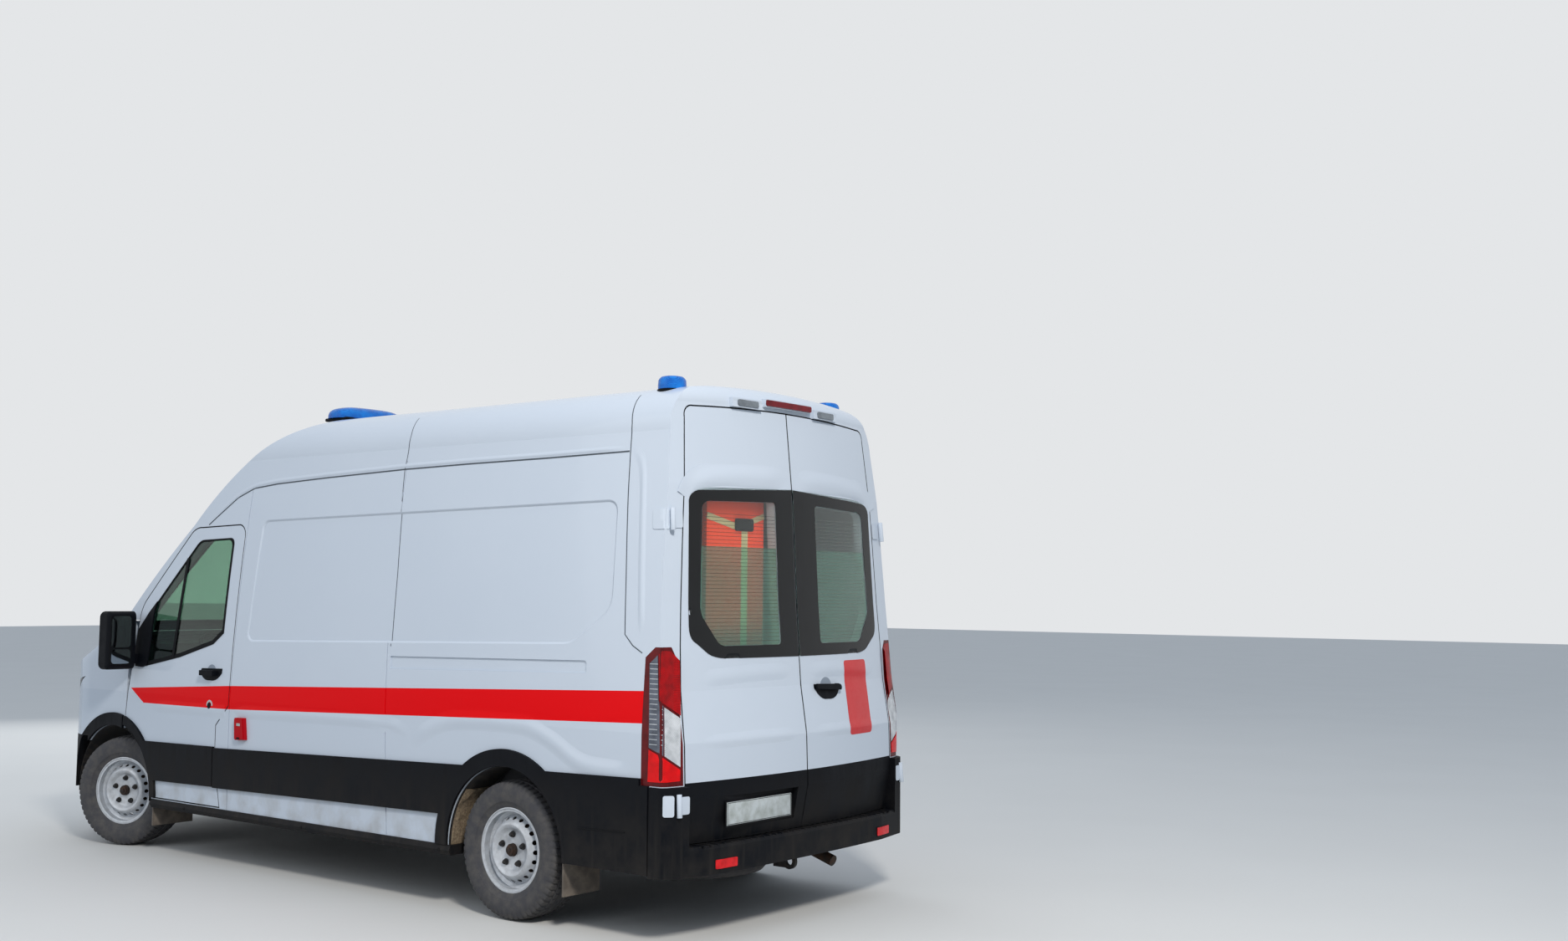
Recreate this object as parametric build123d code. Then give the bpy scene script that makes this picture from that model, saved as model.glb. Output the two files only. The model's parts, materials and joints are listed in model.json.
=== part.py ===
from build123d import *
from math import cos, hypot, radians, sin
import os

# A full-size, high-roof, long-wheelbase panel-van ambulance, in millimetres.
# +X points forward, +Y to the vehicle's left and +Z up.
# The origin is on the ground, half way along the vehicle, on its centre line.

# Overall size
LENGTH = 5981.0
MIRROR_WIDTH = 2474.0
SKIN_HALF = 1012.0        # half width of the painted skin at the waist
TRIM_PROUD = 16.0         # how far the black side mouldings stand out of it
ROOF_TOP = 2768.0
SKIN_BOTTOM = 345.0       # lower edge of doors and side panels
NOSE_X = LENGTH / 2
TAIL_X = -LENGTH / 2

# Wheels and axles
WHEELBASE = 3750.0
FRONT_OVERHANG = 1023.0
TRACK_FRONT = 1732.0
TRACK_REAR = 1743.0
TYRE_R = 356.0
TYRE_W = 235.0
BULGE_R = 285.0           # where the tyre is widest
RIM_R = 203.0             # bead seat radius
RIM_LIP_R = 219.0
RIM_W = 166.0             # between the beads
RIM_T = 7.0
RIM_LIP_W = 12.0
WELL_DEPTH = 22.0
HUB_FACE = 60.0           # mounting face, outboard of the wheel's middle plane
BOLT_PCD = 160.0
BOLT_COUNT = 5
FRONT_X = NOSE_X - FRONT_OVERHANG
REAR_X = FRONT_X - WHEELBASE
KINGPIN_Y = 850.0
STEER_REST = 20.0         # the front wheels stand turned to the left

# Body walls
SIDE_T = 55.0
ROOF_T = 45.0
REAR_T = 60.0
GLASS_T = 6.0
FLOOR_Z = 640.0
FLOOR_T = 40.0
SEAM = 8.0                # gap round doors and bonnet
SHUT = 6.0                # gap between fixed panels' steps
FIT = 0.3                 # seating gap between fixed pieces
STAMP = 8.0               # depth of the stampings in the side panels

# Wheel openings in the body sides
ARCH_R = 432.0
ARCH_TRIM_W = 88.0
HOUSE_IN = 540.0          # inner wall of the front wheel houses

# Doors
DOOR_SPLIT = 10.0         # gap between the two rear doors
REAR_DOOR_HALF = 880.0
REAR_DOOR_BOTTOM = 487.0
JAMB = 18.0               # gap inside the shut line

CROWN_Y = 1040.0          # where the edge profile of the crowned body stands


def write(name, shape):
    """Keep one named piece as a STEP file of its solids."""
    solids = list(shape.solids())
    body = solids[0] if len(solids) == 1 else Compound(children=solids)
    body.label = name
    export_step(body, f"parts/{name}.step")
    print(f"{name}: {len(solids)} solids, {sum(s.volume for s in solids) / 1e6:.2f} l")


def mirrored(shape):
    """The same piece on the other side of the vehicle."""
    return mirror(shape, about=Plane.XZ)


def box(x0, x1, y0, y1, z0, z1):
    """A box between two corners."""
    middle = ((x0 + x1) / 2, (y0 + y1) / 2, (z0 + z1) / 2)
    return Pos(*middle) * Box(abs(x1 - x0), abs(y1 - y0), abs(z1 - z0))


def path_face(plane, start, steps):
    """A face bounded by lines and arcs: a step is a point, or a pair (through, end)."""
    edges = []
    here = start
    for step in steps + [start]:
        if isinstance(step[0], tuple):
            through, there = step
            edges.append(ThreePointArc(here, through, there))
            here = there
        else:
            if hypot(step[0] - here[0], step[1] - here[1]) > 1e-6:
                edges.append(Line(here, step))
            here = step
    return plane * make_face(Wire(edges))


def prism_y(start, steps, y0, y1):
    """Extrude an outline given in X and Z between two Y values."""
    face = path_face(Plane.XZ, start, steps)
    return Pos(0, y0, 0) * extrude(face, amount=y1 - y0, dir=(0, 1, 0))


def prism_x(start, steps, x0, x1):
    """Extrude an outline given in Y and Z between two X values."""
    face = path_face(Plane.YZ, start, steps)
    return Pos(x0, 0, 0) * extrude(face, amount=x1 - x0, dir=(1, 0, 0))


def prism_z(start, steps, z0, z1):
    """Extrude an outline given in X and Y between two Z values."""
    face = path_face(Plane.XY, start, steps)
    return Pos(0, 0, z0) * extrude(face, amount=z1 - z0, dir=(0, 0, 1))


def rod(a, b, radius):
    """A round bar between two points."""
    a, b = Vector(*a), Vector(*b)
    plane = Plane(origin=a, z_dir=b - a)
    return extrude(plane * Circle(radius), amount=(b - a).length)


# The body's outer form. It is the overlap of three outlines: the side view, crowned
# from the centre line to the edges, the cross-section, and the plan.

# Side view on the centre line: x, z, then how far x and z shift at the edge
REAR_LINE = [
    (-2905.0, 340.0, 100.0, 0.0),
    (-2975.0, 700.0, 104.0, 0.0),
    (-2966.0, 962.0, 104.0, 0.0),
    (-2925.0, 1210.0, 100.0, 0.0),
    (-2890.0, 1640.0, 96.0, 0.0),
    (-2856.0, 2220.0, 92.0, 0.0),
    (-2810.0, 2655.0, 88.0, -30.0),
]
TAIL_ARC = [(-2785.0, 2735.0, 88.0, -50.0), (-2700.0, ROOF_TOP - 4.0, 84.0, -66.0)]
ROOF_START = (0.0, ROOF_TOP - 6.0, -60.0, -70.0)
CAP_ARC = [(400.0, 2712.0, -100.0, -70.0), (950.0, 2490.0, -170.0, -60.0)]
HEADER_ARC = [(1210.0, 2308.0, -200.0, -40.0), (1440.0, 2108.0, -225.0, -20.0)]
SCREEN_ARC = [(1838.0, 1765.0, -225.0, -10.0), (2215.0, 1396.0, -225.0, 0.0)]
BONNET_ARC = [(2560.0, 1280.0, -150.0, -80.0), (2850.0, 1085.0, -100.0, -90.0)]
NOSE_ARC = [(2935.0, 975.0, -60.0, -40.0), (2966.0, 820.0, 0.0, 0.0)]
NOSE_LOW = [(NOSE_X, 560.0, 0.0, 0.0), (NOSE_X - 10.0, 340.0, 0.0, 0.0)]


def side_section(y, share, roof_in, front_in, rear_in, bottom):
    """The side outline at one Y, with share of the edge shift and inset walls."""
    def at(point, dx=0.0, dz=0.0):
        x, z, sx, sz = point
        return (x + share * sx + dx, z + share * sz + dz)
    rear = [at(p, rear_in) for p in REAR_LINE]
    rear[0] = (rear[0][0], bottom)
    tail = [at(TAIL_ARC[0], rear_in, -roof_in), at(TAIL_ARC[1], rear_in, -roof_in)]
    rear[-1] = (rear[-1][0], rear[-1][1] - roof_in)
    slope_x, slope_z = -0.68 * front_in, -0.73 * front_in
    steps = rear[1:] + [tuple(tail)]
    steps += [at(ROOF_START, 0.0, -roof_in)]
    steps += [(at(CAP_ARC[0], -0.25 * roof_in, -roof_in),
               at(CAP_ARC[1], -0.55 * roof_in, -0.85 * roof_in))]
    steps += [(at(HEADER_ARC[0], slope_x, slope_z), at(HEADER_ARC[1], slope_x, slope_z))]
    steps += [(at(SCREEN_ARC[0], slope_x, slope_z), at(SCREEN_ARC[1], slope_x, slope_z))]
    steps += [(at(BONNET_ARC[0], -0.3 * front_in, -front_in),
               at(BONNET_ARC[1], -0.7 * front_in, -0.7 * front_in))]
    steps += [(at(NOSE_ARC[0], -front_in), at(NOSE_ARC[1], -front_in))]
    low = [at(p, -front_in) for p in NOSE_LOW]
    low[-1] = (low[-1][0], bottom)
    steps += low
    face = path_face(Plane.XZ, rear[0], steps)
    return Pos(0, y, 0) * face


# Cross-section: half width at each height, from the sill up to the roof's edge
def cross_section(side_in, roof_in, bottom):
    half = SKIN_HALF - side_in
    start = (-half + 6.0, bottom)
    side_low = (-half, 620.0)
    side_waist = (-half, 1010.0)
    side_mid = (-(965.0 - side_in), 1700.0)
    side_top = (-(872.0 - side_in), 2490.0)
    edge_mid = (-(815.0 - side_in), 2648.0 - roof_in)
    edge_top = (-690.0, 2725.0 - roof_in)
    crown = (0.0, ROOF_TOP + 8.0 - roof_in)

    def other(p):
        return (-p[0], p[1])
    steps = [side_low, side_waist, (side_mid, side_top), (edge_mid, edge_top),
             (crown, other(edge_top)), (other(edge_mid), other(side_top)),
             (other(side_mid), other(side_waist)), other(side_low), other(start)]
    return start, steps


NOSE_BEND_X = 2290.0      # where the side starts to turn in towards the nose
NOSE_BEND_R = 450.0
NOSE_BEND_ANGLE = 42.04


def plan_outline(side_in, front_in, rear_in):
    """Plan view: straight sides, a rounded nose of two radii and rounded tail corners."""
    half = SKIN_HALF + 10.0 - side_in
    r = NOSE_BEND_R - front_in
    cx, cy = NOSE_BEND_X, half - 10.0 - r
    t1, t2 = radians(NOSE_BEND_ANGLE / 2), radians(NOSE_BEND_ANGLE)
    mid = (cx + r * sin(t1), half - r + r * cos(t1))
    end = (cx + r * sin(t2), half - r + r * cos(t2))
    tip = (NOSE_X - front_in, 0.0)
    tail_x = TAIL_X + rear_in + 10.0
    c = 60.0
    tail_corner = -2880.0 + rear_in

    def other(p):
        return (p[0], -p[1])
    steps = [(cx, half), (mid, end), (tip, other(end)), (other(mid), (cx, -half)),
             (tail_corner + c, -half),
             ((tail_corner + 0.3 * c, -half + 0.3 * c), (tail_corner, -half + c)),
             (tail_x, -half + 260.0), (tail_x, half - 260.0), (tail_corner, half - c),
             ((tail_corner + 0.3 * c, half - 0.3 * c), (tail_corner + c, half))]
    return (tail_corner + c, half), steps


def envelope(side_in=0.0, roof_in=0.0, front_in=0.0, rear_in=0.0, bottom=SKIN_BOTTOM):
    """The body's outer form, drawn inwards by the given wall thicknesses."""
    insets = (roof_in, front_in, rear_in, bottom)
    sections = [side_section(y, share, *insets)
                for y, share in ((-CROWN_Y, 1.0), (0.0, 0.0), (CROWN_Y, 1.0))]
    crowned = loft(sections)
    across = prism_x(*cross_section(side_in, roof_in, bottom - 5.0), TAIL_X - 50, NOSE_X + 50)
    plan = prism_z(*plan_outline(side_in, front_in, rear_in), bottom - 20, ROOF_TOP + 80)
    return crowned & across & plan


os.makedirs("parts", exist_ok=True)
outer = envelope()
low = SKIN_BOTTOM - 30.0
inner = envelope(SIDE_T, ROOF_T, 40.0, REAR_T, low)
shell = outer - inner
stamped = envelope(STAMP, STAMP, STAMP, STAMP, low)
skin = outer - stamped
glazing = outer - envelope(GLASS_T, GLASS_T, GLASS_T, GLASS_T, low)
proud = envelope(-TRIM_PROUD, 0.0, -TRIM_PROUD, -TRIM_PROUD) - outer

FAR_BACK, FAR_FRONT, FAR_UP = TAIL_X - 60.0, NOSE_X + 60.0, ROOF_TOP + 90.0
WIDE = CROWN_Y + 20.0

# Panel outlines in the side view (x, z)
GUTTER = [(-2495.0, 2398.0), (-771.0, 2421.0), (-111.0, 2425.0), (300.0, 2378.0),
          (672.0, 2296.0), (940.0, 2246.0), (1200.0, 2186.0), (1440.0, 2096.0)]
DOOR_CORNER = 70.0
DOOR_REAR_X = 694.0
DOOR_TOP_Z = 2082.0
DOOR_START = (760.0, 358.0)
DOOR_STEPS = [(818.0, 640.0), (818.0, 850.0), (690.0, 975.0),
              (DOOR_REAR_X, DOOR_TOP_Z - DOOR_CORNER),
              ((DOOR_REAR_X + 0.3 * DOOR_CORNER, DOOR_TOP_Z - 0.3 * DOOR_CORNER),
               (DOOR_REAR_X + DOOR_CORNER, DOOR_TOP_Z)),
              (1170.0, 2072.0), ((1236.0, 2062.0), (1290.0, 2024.0)),
              (1700.0, 1610.0), ((1742.0, 1545.0), (1757.0, 1470.0)), (1846.0, 796.0),
              ((FRONT_X - 402.0, 580.0), (FRONT_X - 458.0, 358.0))]
WINDOW_START = (802.0, 1420.0)
WINDOW_STEPS = [(800.0, 1960.0), ((812.0, 1988.0), (840.0, 2000.0)), (1120.0, 1992.0),
                ((1165.0, 1982.0), (1205.0, 1950.0)), (1636.0, 1530.0),
                (1720.0, 1240.0), (1664.0, 1188.0), (1250.0, 1262.0), (900.0, 1352.0)]
ARCH_BEHIND = 458.0

SLIDE_REAR_X = -790.0
SLIDE_START = (674.0, 358.0)
SLIDE_STEPS = [(SLIDE_REAR_X - 55.0, 358.0), (SLIDE_REAR_X - 20.0, 1000.0),
               (SLIDE_REAR_X, 1400.0), (SLIDE_REAR_X + 6.0, 2330.0), (640.0, 2246.0),
               (676.0, 1000.0)]
BLANK_START = (552.0, 1440.0)
BLANK_STEPS = [(522.0, 2050.0), ((503.0, 2094.0), (460.0, 2110.0)), (-2400.0, 2150.0),
               ((-2448.0, 2130.0), (-2466.0, 2085.0)), (-2482.0, 1690.0),
               ((-2470.0, 1620.0), (-2425.0, 1565.0)), (-2275.0, 1465.0),
               ((-2215.0, 1432.0), (-2150.0, 1422.0)), (500.0, 1368.0),
               ((538.0, 1390.0), (552.0, 1440.0))]
RAIL_START = (-820.0, 1322.0)
RAIL_STEPS = [(-2318.0, 1346.0), ((-2332.0, 1338.0), (-2334.0, 1324.0)), (-2334.0, 1284.0),
              (-820.0, 1252.0)]

# Rear view outlines (y, z)
DOOR_EDGE = [(REAR_DOOR_HALF, REAR_DOOR_BOTTOM), (REAR_DOOR_HALF, 1000.0), (862.0, 1420.0),
             (818.0, 2040.0), (774.0, 2560.0)]
DOOR_EDGE_TOP = (718.0, 2618.0)
SCREEN_BASE, SCREEN_HEAD = (812.0, 1395.0), (690.0, 2098.0)
LAMP_IN, LAMP_LOW, LAMP_HIGH = REAR_DOOR_HALF + 14.0, 766.0, 1424.0
LAMP_FRONT_X = -2728.0
BUMPER_TOP = 474.0
BUMPER_CORNER_TOP = 762.0
BUMPER_FRONT_X = -2790.0


def band(points_top, points_low, y0, y1):
    """A strip between an upper and a lower line in the side view."""
    steps = list(points_top[1:]) + list(reversed(points_low))
    return prism_y(points_top[0], steps, y0, y1)


def grown(plane, start, steps, amount):
    """The outline's face, grown evenly all round."""
    return offset(path_face(plane, start, steps), amount=amount, kind=Kind.INTERSECTION)


def side_cut(start, steps, amount=0.0, y0=0.0, y1=WIDE):
    face = grown(Plane.XZ, start, steps, amount) if amount else path_face(Plane.XZ, start, steps)
    return Pos(0, y0, 0) * extrude(face, amount=y1 - y0, dir=(0, 1, 0))


def rear_cut(start, steps, amount=0.0, x0=FAR_BACK, x1=-2500.0):
    face = grown(Plane.YZ, start, steps, amount) if amount else path_face(Plane.YZ, start, steps)
    return Pos(x0, 0, 0) * extrude(face, amount=x1 - x0, dir=(1, 0, 0))


# Where the body is split
above_gutter = prism_y((FAR_BACK, GUTTER[0][1] - 6.0),
                       GUTTER + [(1560.0, 2200.0), (1560.0, FAR_UP), (FAR_BACK, FAR_UP)],
                       -WIDE, WIDE)
rear_frame_start = (-DOOR_EDGE[0][0], DOOR_EDGE[0][1])
rear_frame_steps = DOOR_EDGE + [((760.0, 2604.0), DOOR_EDGE_TOP),
                                ((0.0, 2640.0), (-DOOR_EDGE_TOP[0], DOOR_EDGE_TOP[1])),
                                ((-760.0, 2604.0), (-DOOR_EDGE[4][0], DOOR_EDGE[4][1]))]
rear_frame_steps += [(-y, z) for y, z in reversed(DOOR_EDGE[1:4])]
rear_opening = rear_cut(rear_frame_start, rear_frame_steps, SEAM, FAR_BACK, -2760.0)
rear_door_pair = rear_cut(rear_frame_start, rear_frame_steps, 0.0, FAR_BACK, -2760.0)
below_bumper = box(FAR_BACK, BUMPER_FRONT_X, -WIDE, WIDE, 0.0, REAR_DOOR_BOTTOM - SEAM)
bumper_corners = [box(FAR_BACK, BUMPER_FRONT_X, s * (REAR_DOOR_HALF + SEAM), s * WIDE, 0.0,
                      BUMPER_CORNER_TOP + FIT) for s in (-1, 1)]
lamp_side = prism_y((LAMP_FRONT_X, LAMP_LOW),
                    [(LAMP_FRONT_X, LAMP_HIGH - 50.0), (LAMP_FRONT_X - 60.0, LAMP_HIGH),
                     (FAR_BACK, LAMP_HIGH), (FAR_BACK, LAMP_LOW)], 0.0, WIDE)
lamp_rear = prism_x((LAMP_IN, LAMP_LOW),
                    [(LAMP_IN, LAMP_HIGH - 50.0), (LAMP_IN + 26.0, LAMP_HIGH),
                     (WIDE, LAMP_HIGH), (WIDE, LAMP_LOW)], FAR_BACK, -2700.0)
lamp_place = lamp_side & lamp_rear
screen_hole = prism_x((-SCREEN_BASE[0], SCREEN_BASE[1]),
                      [SCREEN_BASE, SCREEN_HEAD,
                       (-SCREEN_HEAD[0], SCREEN_HEAD[1])], 1000.0, 2500.0)
front_of_door = prism_y((1758.0, 1478.0),
                        [(1846.0 + SHUT, 796.0), (1846.0 + SHUT, 0.0), (FAR_FRONT, 0.0),
                         (FAR_FRONT, 1478.0)], -WIDE, WIDE)


def arch(x, radius, y0, y1):
    return Pos(x, (y0 + y1) / 2, TYRE_R) * Rot(90, 0, 0) * Cylinder(radius, abs(y1 - y0))


# The roof, down to the gutter, with the high front cap and the header over the rear doors
roof = (shell & above_gutter) - screen_hole - rear_opening

# One body side: pillars, quarter panel and stampings
left_zone = box(FAR_BACK, 2400.0, 1.0, WIDE, SKIN_BOTTOM - 5.0, FAR_UP)
left = (shell & left_zone) - above_gutter - front_of_door - screen_hole - rear_opening
left -= side_cut(DOOR_START, DOOR_STEPS, SEAM)
left -= stamped & side_cut(DOOR_START, DOOR_STEPS, JAMB)
rear_jamb = stamped & rear_cut(rear_frame_start, rear_frame_steps, JAMB, FAR_BACK, -2760.0)
left -= rear_jamb
roof -= rear_jamb
write("roof", roof)
left -= arch(REAR_X, ARCH_R, 400.0, WIDE) + arch(FRONT_X, ARCH_BEHIND, 400.0, WIDE)
left = left - below_bumper - bumper_corners[1] - lamp_place
left = left - (skin & side_cut(BLANK_START, BLANK_STEPS))
left = left - (skin & side_cut(RAIL_START, RAIL_STEPS))
right = mirrored(left)
b_seam = box(672.0, 672.0 + SHUT, 0.0, WIDE, 340.0, 2300.0)
mid_seam = side_cut((SLIDE_REAR_X - 55.0, 340.0),
                    [(SLIDE_REAR_X - 20.0, 1000.0), (SLIDE_REAR_X, 1400.0),
                     (SLIDE_REAR_X + 6.0, 2430.0), (SLIDE_REAR_X + 6.0 + SHUT, 2430.0),
                     (SLIDE_REAR_X + SHUT, 1400.0), (SLIDE_REAR_X - 20.0 + SHUT, 1000.0),
                     (SLIDE_REAR_X - 55.0 + SHUT, 340.0)])
left = left - (skin & (b_seam + mid_seam))
left = Compound(children=[s for s in left.solids() if s.volume > 1e5])
write("left_body_side", left)

slide_hole = mirrored(side_cut(SLIDE_START, SLIDE_STEPS, SHUT))
slide_place = mirrored(side_cut(SLIDE_START, SLIDE_STEPS))
right_rest = right - slide_hole
write("right_body_side", Compound(children=[s for s in right_rest.solids() if s.volume > 1e5]))
write("sliding_door", Compound(children=[s for s in (right & slide_place).solids()
                                         if s.volume > 1e5]))

# Front doors with their window openings and panes
door = shell & side_cut(DOOR_START, DOOR_STEPS, 0.0, 1.0)
door -= side_cut(WINDOW_START, WINDOW_STEPS, 0.0, 1.0)
pane = glazing & side_cut(WINDOW_START, WINDOW_STEPS, -FIT, 1.0)
write("left_front_door", door)
write("right_front_door", mirrored(door))
write("left_door_glass", pane)
write("right_door_glass", mirrored(pane))

# Windscreen
screen = glazing & prism_x((-SCREEN_BASE[0] + 1.0, SCREEN_BASE[1] + 1.0),
                           [(SCREEN_BASE[0] - 1.0, SCREEN_BASE[1] + 1.0),
                            (SCREEN_HEAD[0] - 1.0, SCREEN_HEAD[1] - 1.0),
                            (-SCREEN_HEAD[0] + 1.0, SCREEN_HEAD[1] - 1.0)], 1000.0, 2500.0)
write("windscreen", screen)

# Rear doors, each as thick as the tail wall, with a window and its pane
REAR_WIN_START = (0.0, 1362.0)
REAR_WIN_STEPS = [(560.0, 1362.0), ((600.0, 1372.0), (640.0, 1400.0)), (770.0, 1535.0),
                  ((792.0, 1570.0), (796.0, 1620.0)), (768.0, 2120.0),
                  ((752.0, 2190.0), (690.0, 2212.0)), (0.0, 2236.0)]
REAR_HOLE_START = (150.0, 1424.0)
REAR_HOLE_STEPS = [(575.0, 1424.0), ((604.0, 1432.0), (628.0, 1452.0)), (706.0, 1552.0),
                   ((724.0, 1585.0), (728.0, 1625.0)), (700.0, 2080.0),
                   ((688.0, 2128.0), (640.0, 2146.0)), (150.0, 2160.0)]
half_zone = box(FAR_BACK, -2700.0, DOOR_SPLIT / 2, WIDE, 0.0, FAR_UP)
door_base = (shell & rear_door_pair) & half_zone
door_base -= rear_cut(REAR_HOLE_START, REAR_HOLE_STEPS)
pane_place = rear_cut(REAR_WIN_START, REAR_WIN_STEPS)
rear_pane = glazing & pane_place & half_zone
door_base -= glazing & rear_cut(REAR_WIN_START, REAR_WIN_STEPS, FIT)
CLADDING_TOP = 775.0
cladding_zone = box(FAR_BACK, -2700.0, DOOR_SPLIT / 2, WIDE, 0.0, CLADDING_TOP)
PLATE = (104.0, 624.0, 548.0, 664.0)      # y from and to, z from and to
POCKET_X, POCKET_T = -2936.0, 4.0         # the pocket's floor and its wall


def plate_pocket(out, x_end):
    """The room of the plate's pocket, with its walls moved out."""
    return box(FAR_BACK, x_end, PLATE[0] - 26.0 - out, PLATE[1] + 26.0 + out,
               PLATE[2] - 14.0 - out, PLATE[3] + 30.0 + out)


cladding = (skin & rear_door_pair & half_zone) & cladding_zone
left_cladding = cladding + (outer & plate_pocket(POCKET_T, POCKET_X + POCKET_T))
left_cladding -= plate_pocket(0.0, POCKET_X)
clad_cut = skin & box(FAR_BACK, -2700.0, 0.0, WIDE, 0.0, CLADDING_TOP + FIT)
door_base -= clad_cut
write("left_rear_door", door_base - plate_pocket(POCKET_T + FIT, POCKET_X + POCKET_T + FIT))
write("right_rear_door", mirrored(door_base))
write("left_rear_glass", rear_pane)
write("right_rear_glass", mirrored(rear_pane))
write("left_rear_cladding", left_cladding)
write("right_rear_cladding", mirrored(cladding))

# Bonnet, front wings, lamps, grille and bumper
BONNET_REAR_X = 2236.0      # ahead of the windscreen by the cowl strip
BONNET_START = (BONNET_REAR_X, -700.0)
BONNET_STEPS = [(2420.0, -782.0), (2820.0, -640.0), (2905.0, -430.0), (2905.0, 430.0),
                (2820.0, 640.0), (2420.0, 782.0), (BONNET_REAR_X, 700.0)]
BONNET_LOW = 1050.0
LAMP_START = (2360.0, 1092.0)
LAMP_STEPS = [(2700.0, 1010.0), (2960.0, 1000.0), (3000.0, 800.0), (2760.0, 800.0)]
HEADLAMP_IN = 440.0
GRILLE_HALF, GRILLE_LOW, GRILLE_HIGH = 425.0, 735.0, 1020.0
BUMPER_LINE = 770.0
nose = shell & box(FRONT_X - 130.0, FAR_FRONT, -WIDE, WIDE, SKIN_BOTTOM - 5.0, 1500.0)
bonnet_place = prism_z(BONNET_START, BONNET_STEPS, BONNET_LOW, 1520.0)
bonnet_hole = Pos(0, 0, BONNET_LOW - SEAM) * extrude(
    grown(Plane.XY, BONNET_START, BONNET_STEPS, SEAM), amount=520.0, dir=(0, 0, 1))
bonnet = (shell & bonnet_place) - screen_hole
write("bonnet", bonnet)

lamp_cut = prism_y(LAMP_START, LAMP_STEPS, HEADLAMP_IN, WIDE)
headlamp = (outer & lamp_cut) - envelope(90.0, 90.0, 120.0, REAR_T, low) - bonnet_hole
write("headlamps", Compound(children=[headlamp.solids().sort_by(SortBy.VOLUME)[-1],
                                      mirrored(headlamp.solids().sort_by(SortBy.VOLUME)[-1])]))
lamp_holes = headlamp + mirrored(headlamp)

grille_place = box(2400.0, FAR_FRONT, -GRILLE_HALF, GRILLE_HALF, GRILLE_LOW, GRILLE_HIGH)
grille_block = (outer - envelope(40.0, 40.0, 50.0, REAR_T, low)) & grille_place
grille = grille_block
BAR_COUNT, BAR_H = 4, 26.0
gap_h = (GRILLE_HIGH - GRILLE_LOW - (BAR_COUNT + 1) * BAR_H) / BAR_COUNT
for i in range(BAR_COUNT):
    z0 = GRILLE_LOW + BAR_H + i * (gap_h + BAR_H)
    inset = 30.0
    grille -= box(2400.0, FAR_FRONT, -GRILLE_HALF + inset, GRILLE_HALF - inset, z0, z0 + gap_h)
write("grille", grille)

bumper_zone = prism_y((FRONT_X + 300.0, SKIN_BOTTOM - 60.0),
                      [(FRONT_X + 300.0, 700.0), (2500.0, 700.0), (2640.0, BUMPER_LINE),
                       (FAR_FRONT, BUMPER_LINE), (FAR_FRONT, SKIN_BOTTOM - 60.0)],
                      -WIDE, WIDE)
bumper = shell & bumper_zone
bumper -= arch(FRONT_X, ARCH_R + ARCH_TRIM_W + FIT, -WIDE, WIDE)
bumper = bumper - lamp_holes - grille_place
INTAKE = (520.0, 430.0, 640.0)
bumper -= box(2700.0, FAR_FRONT, -INTAKE[0], INTAKE[0], INTAKE[1], INTAKE[2])
write("front_bumper", bumper)

wing = nose - bonnet_hole - bumper_zone - grille_place - lamp_holes
wing = wing & prism_y((1757.0 + SEAM, 1470.0), [(1846.0 + SEAM, 796.0), (1846.0 + SEAM, 300.0),
                                           (FAR_FRONT, 300.0), (FAR_FRONT, 1470.0)],
                 1.0, WIDE)
wing -= arch(FRONT_X, ARCH_R, 0.0, WIDE)
wing -= screen_hole
wing_parts = [s for s in wing.solids() if s.volume > 3e5]
write("left_front_wing", Compound(children=wing_parts))
write("right_front_wing", mirrored(Compound(children=wing_parts)))

# Rear bumper: a step across the tail that wraps round to the body sides
STEP_OUT = [(TAIL_X, 0.0), (TAIL_X + 22.0, 700.0), (-2925.0, 930.0), (-2850.0, 1022.0),
            (-2700.0, 1026.0)]
BUMPER_LOW = 336.0
step_x = [x for x, _ in STEP_OUT]
step_start = (-2700.0, -STEP_OUT[4][1])
step_steps = [(step_x[3], -STEP_OUT[3][1]), ((-2905.0, -985.0), (step_x[2], -STEP_OUT[2][1])),
              (step_x[1], -STEP_OUT[1][1]), (STEP_OUT[0], (step_x[1], STEP_OUT[1][1])),
              (step_x[2], STEP_OUT[2][1]), ((-2905.0, 985.0), (step_x[3], STEP_OUT[3][1])),
              (step_x[4], STEP_OUT[4][1])]
step_block = prism_z(step_start, step_steps, BUMPER_LOW, BUMPER_CORNER_TOP)
step_block -= box(-2800.0, -2600.0, -990.0, 990.0, 0.0, 900.0)
step_block -= box(FAR_BACK, -2600.0, -(REAR_DOOR_HALF + SEAM), REAR_DOOR_HALF + SEAM,
                  BUMPER_TOP, 900.0)
step_block -= box(BUMPER_FRONT_X - FIT, -2600.0, -WIDE, WIDE, 300.0, 900.0)
step_block -= box(-2910.0, -2600.0, -820.0, 820.0, 0.0, BUMPER_TOP - 30.0)
step_rim = [e for e in step_block.edges().filter_by_position(Axis.Z, BUMPER_TOP - 1, BUMPER_TOP + 1)
            if e.center().X < -2940.0 and abs(e.center().Y) < 900.0]
step_block = chamfer(step_rim, 16.0, 11.0)
write("rear_bumper", step_block)

# Tail lamps fill the rear corners
tail_lamp = shell & lamp_place
tail_lamp = tail_lamp.solids().sort_by(SortBy.VOLUME)[-1]
inset_lamp = tail_lamp & box(FAR_BACK, LAMP_FRONT_X - FIT, LAMP_IN + FIT, WIDE,
                             LAMP_LOW + FIT, LAMP_HIGH - FIT)
write("tail_lamps", Compound(children=[inset_lamp.solids()[0], mirrored(inset_lamp.solids()[0])]))

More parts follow.
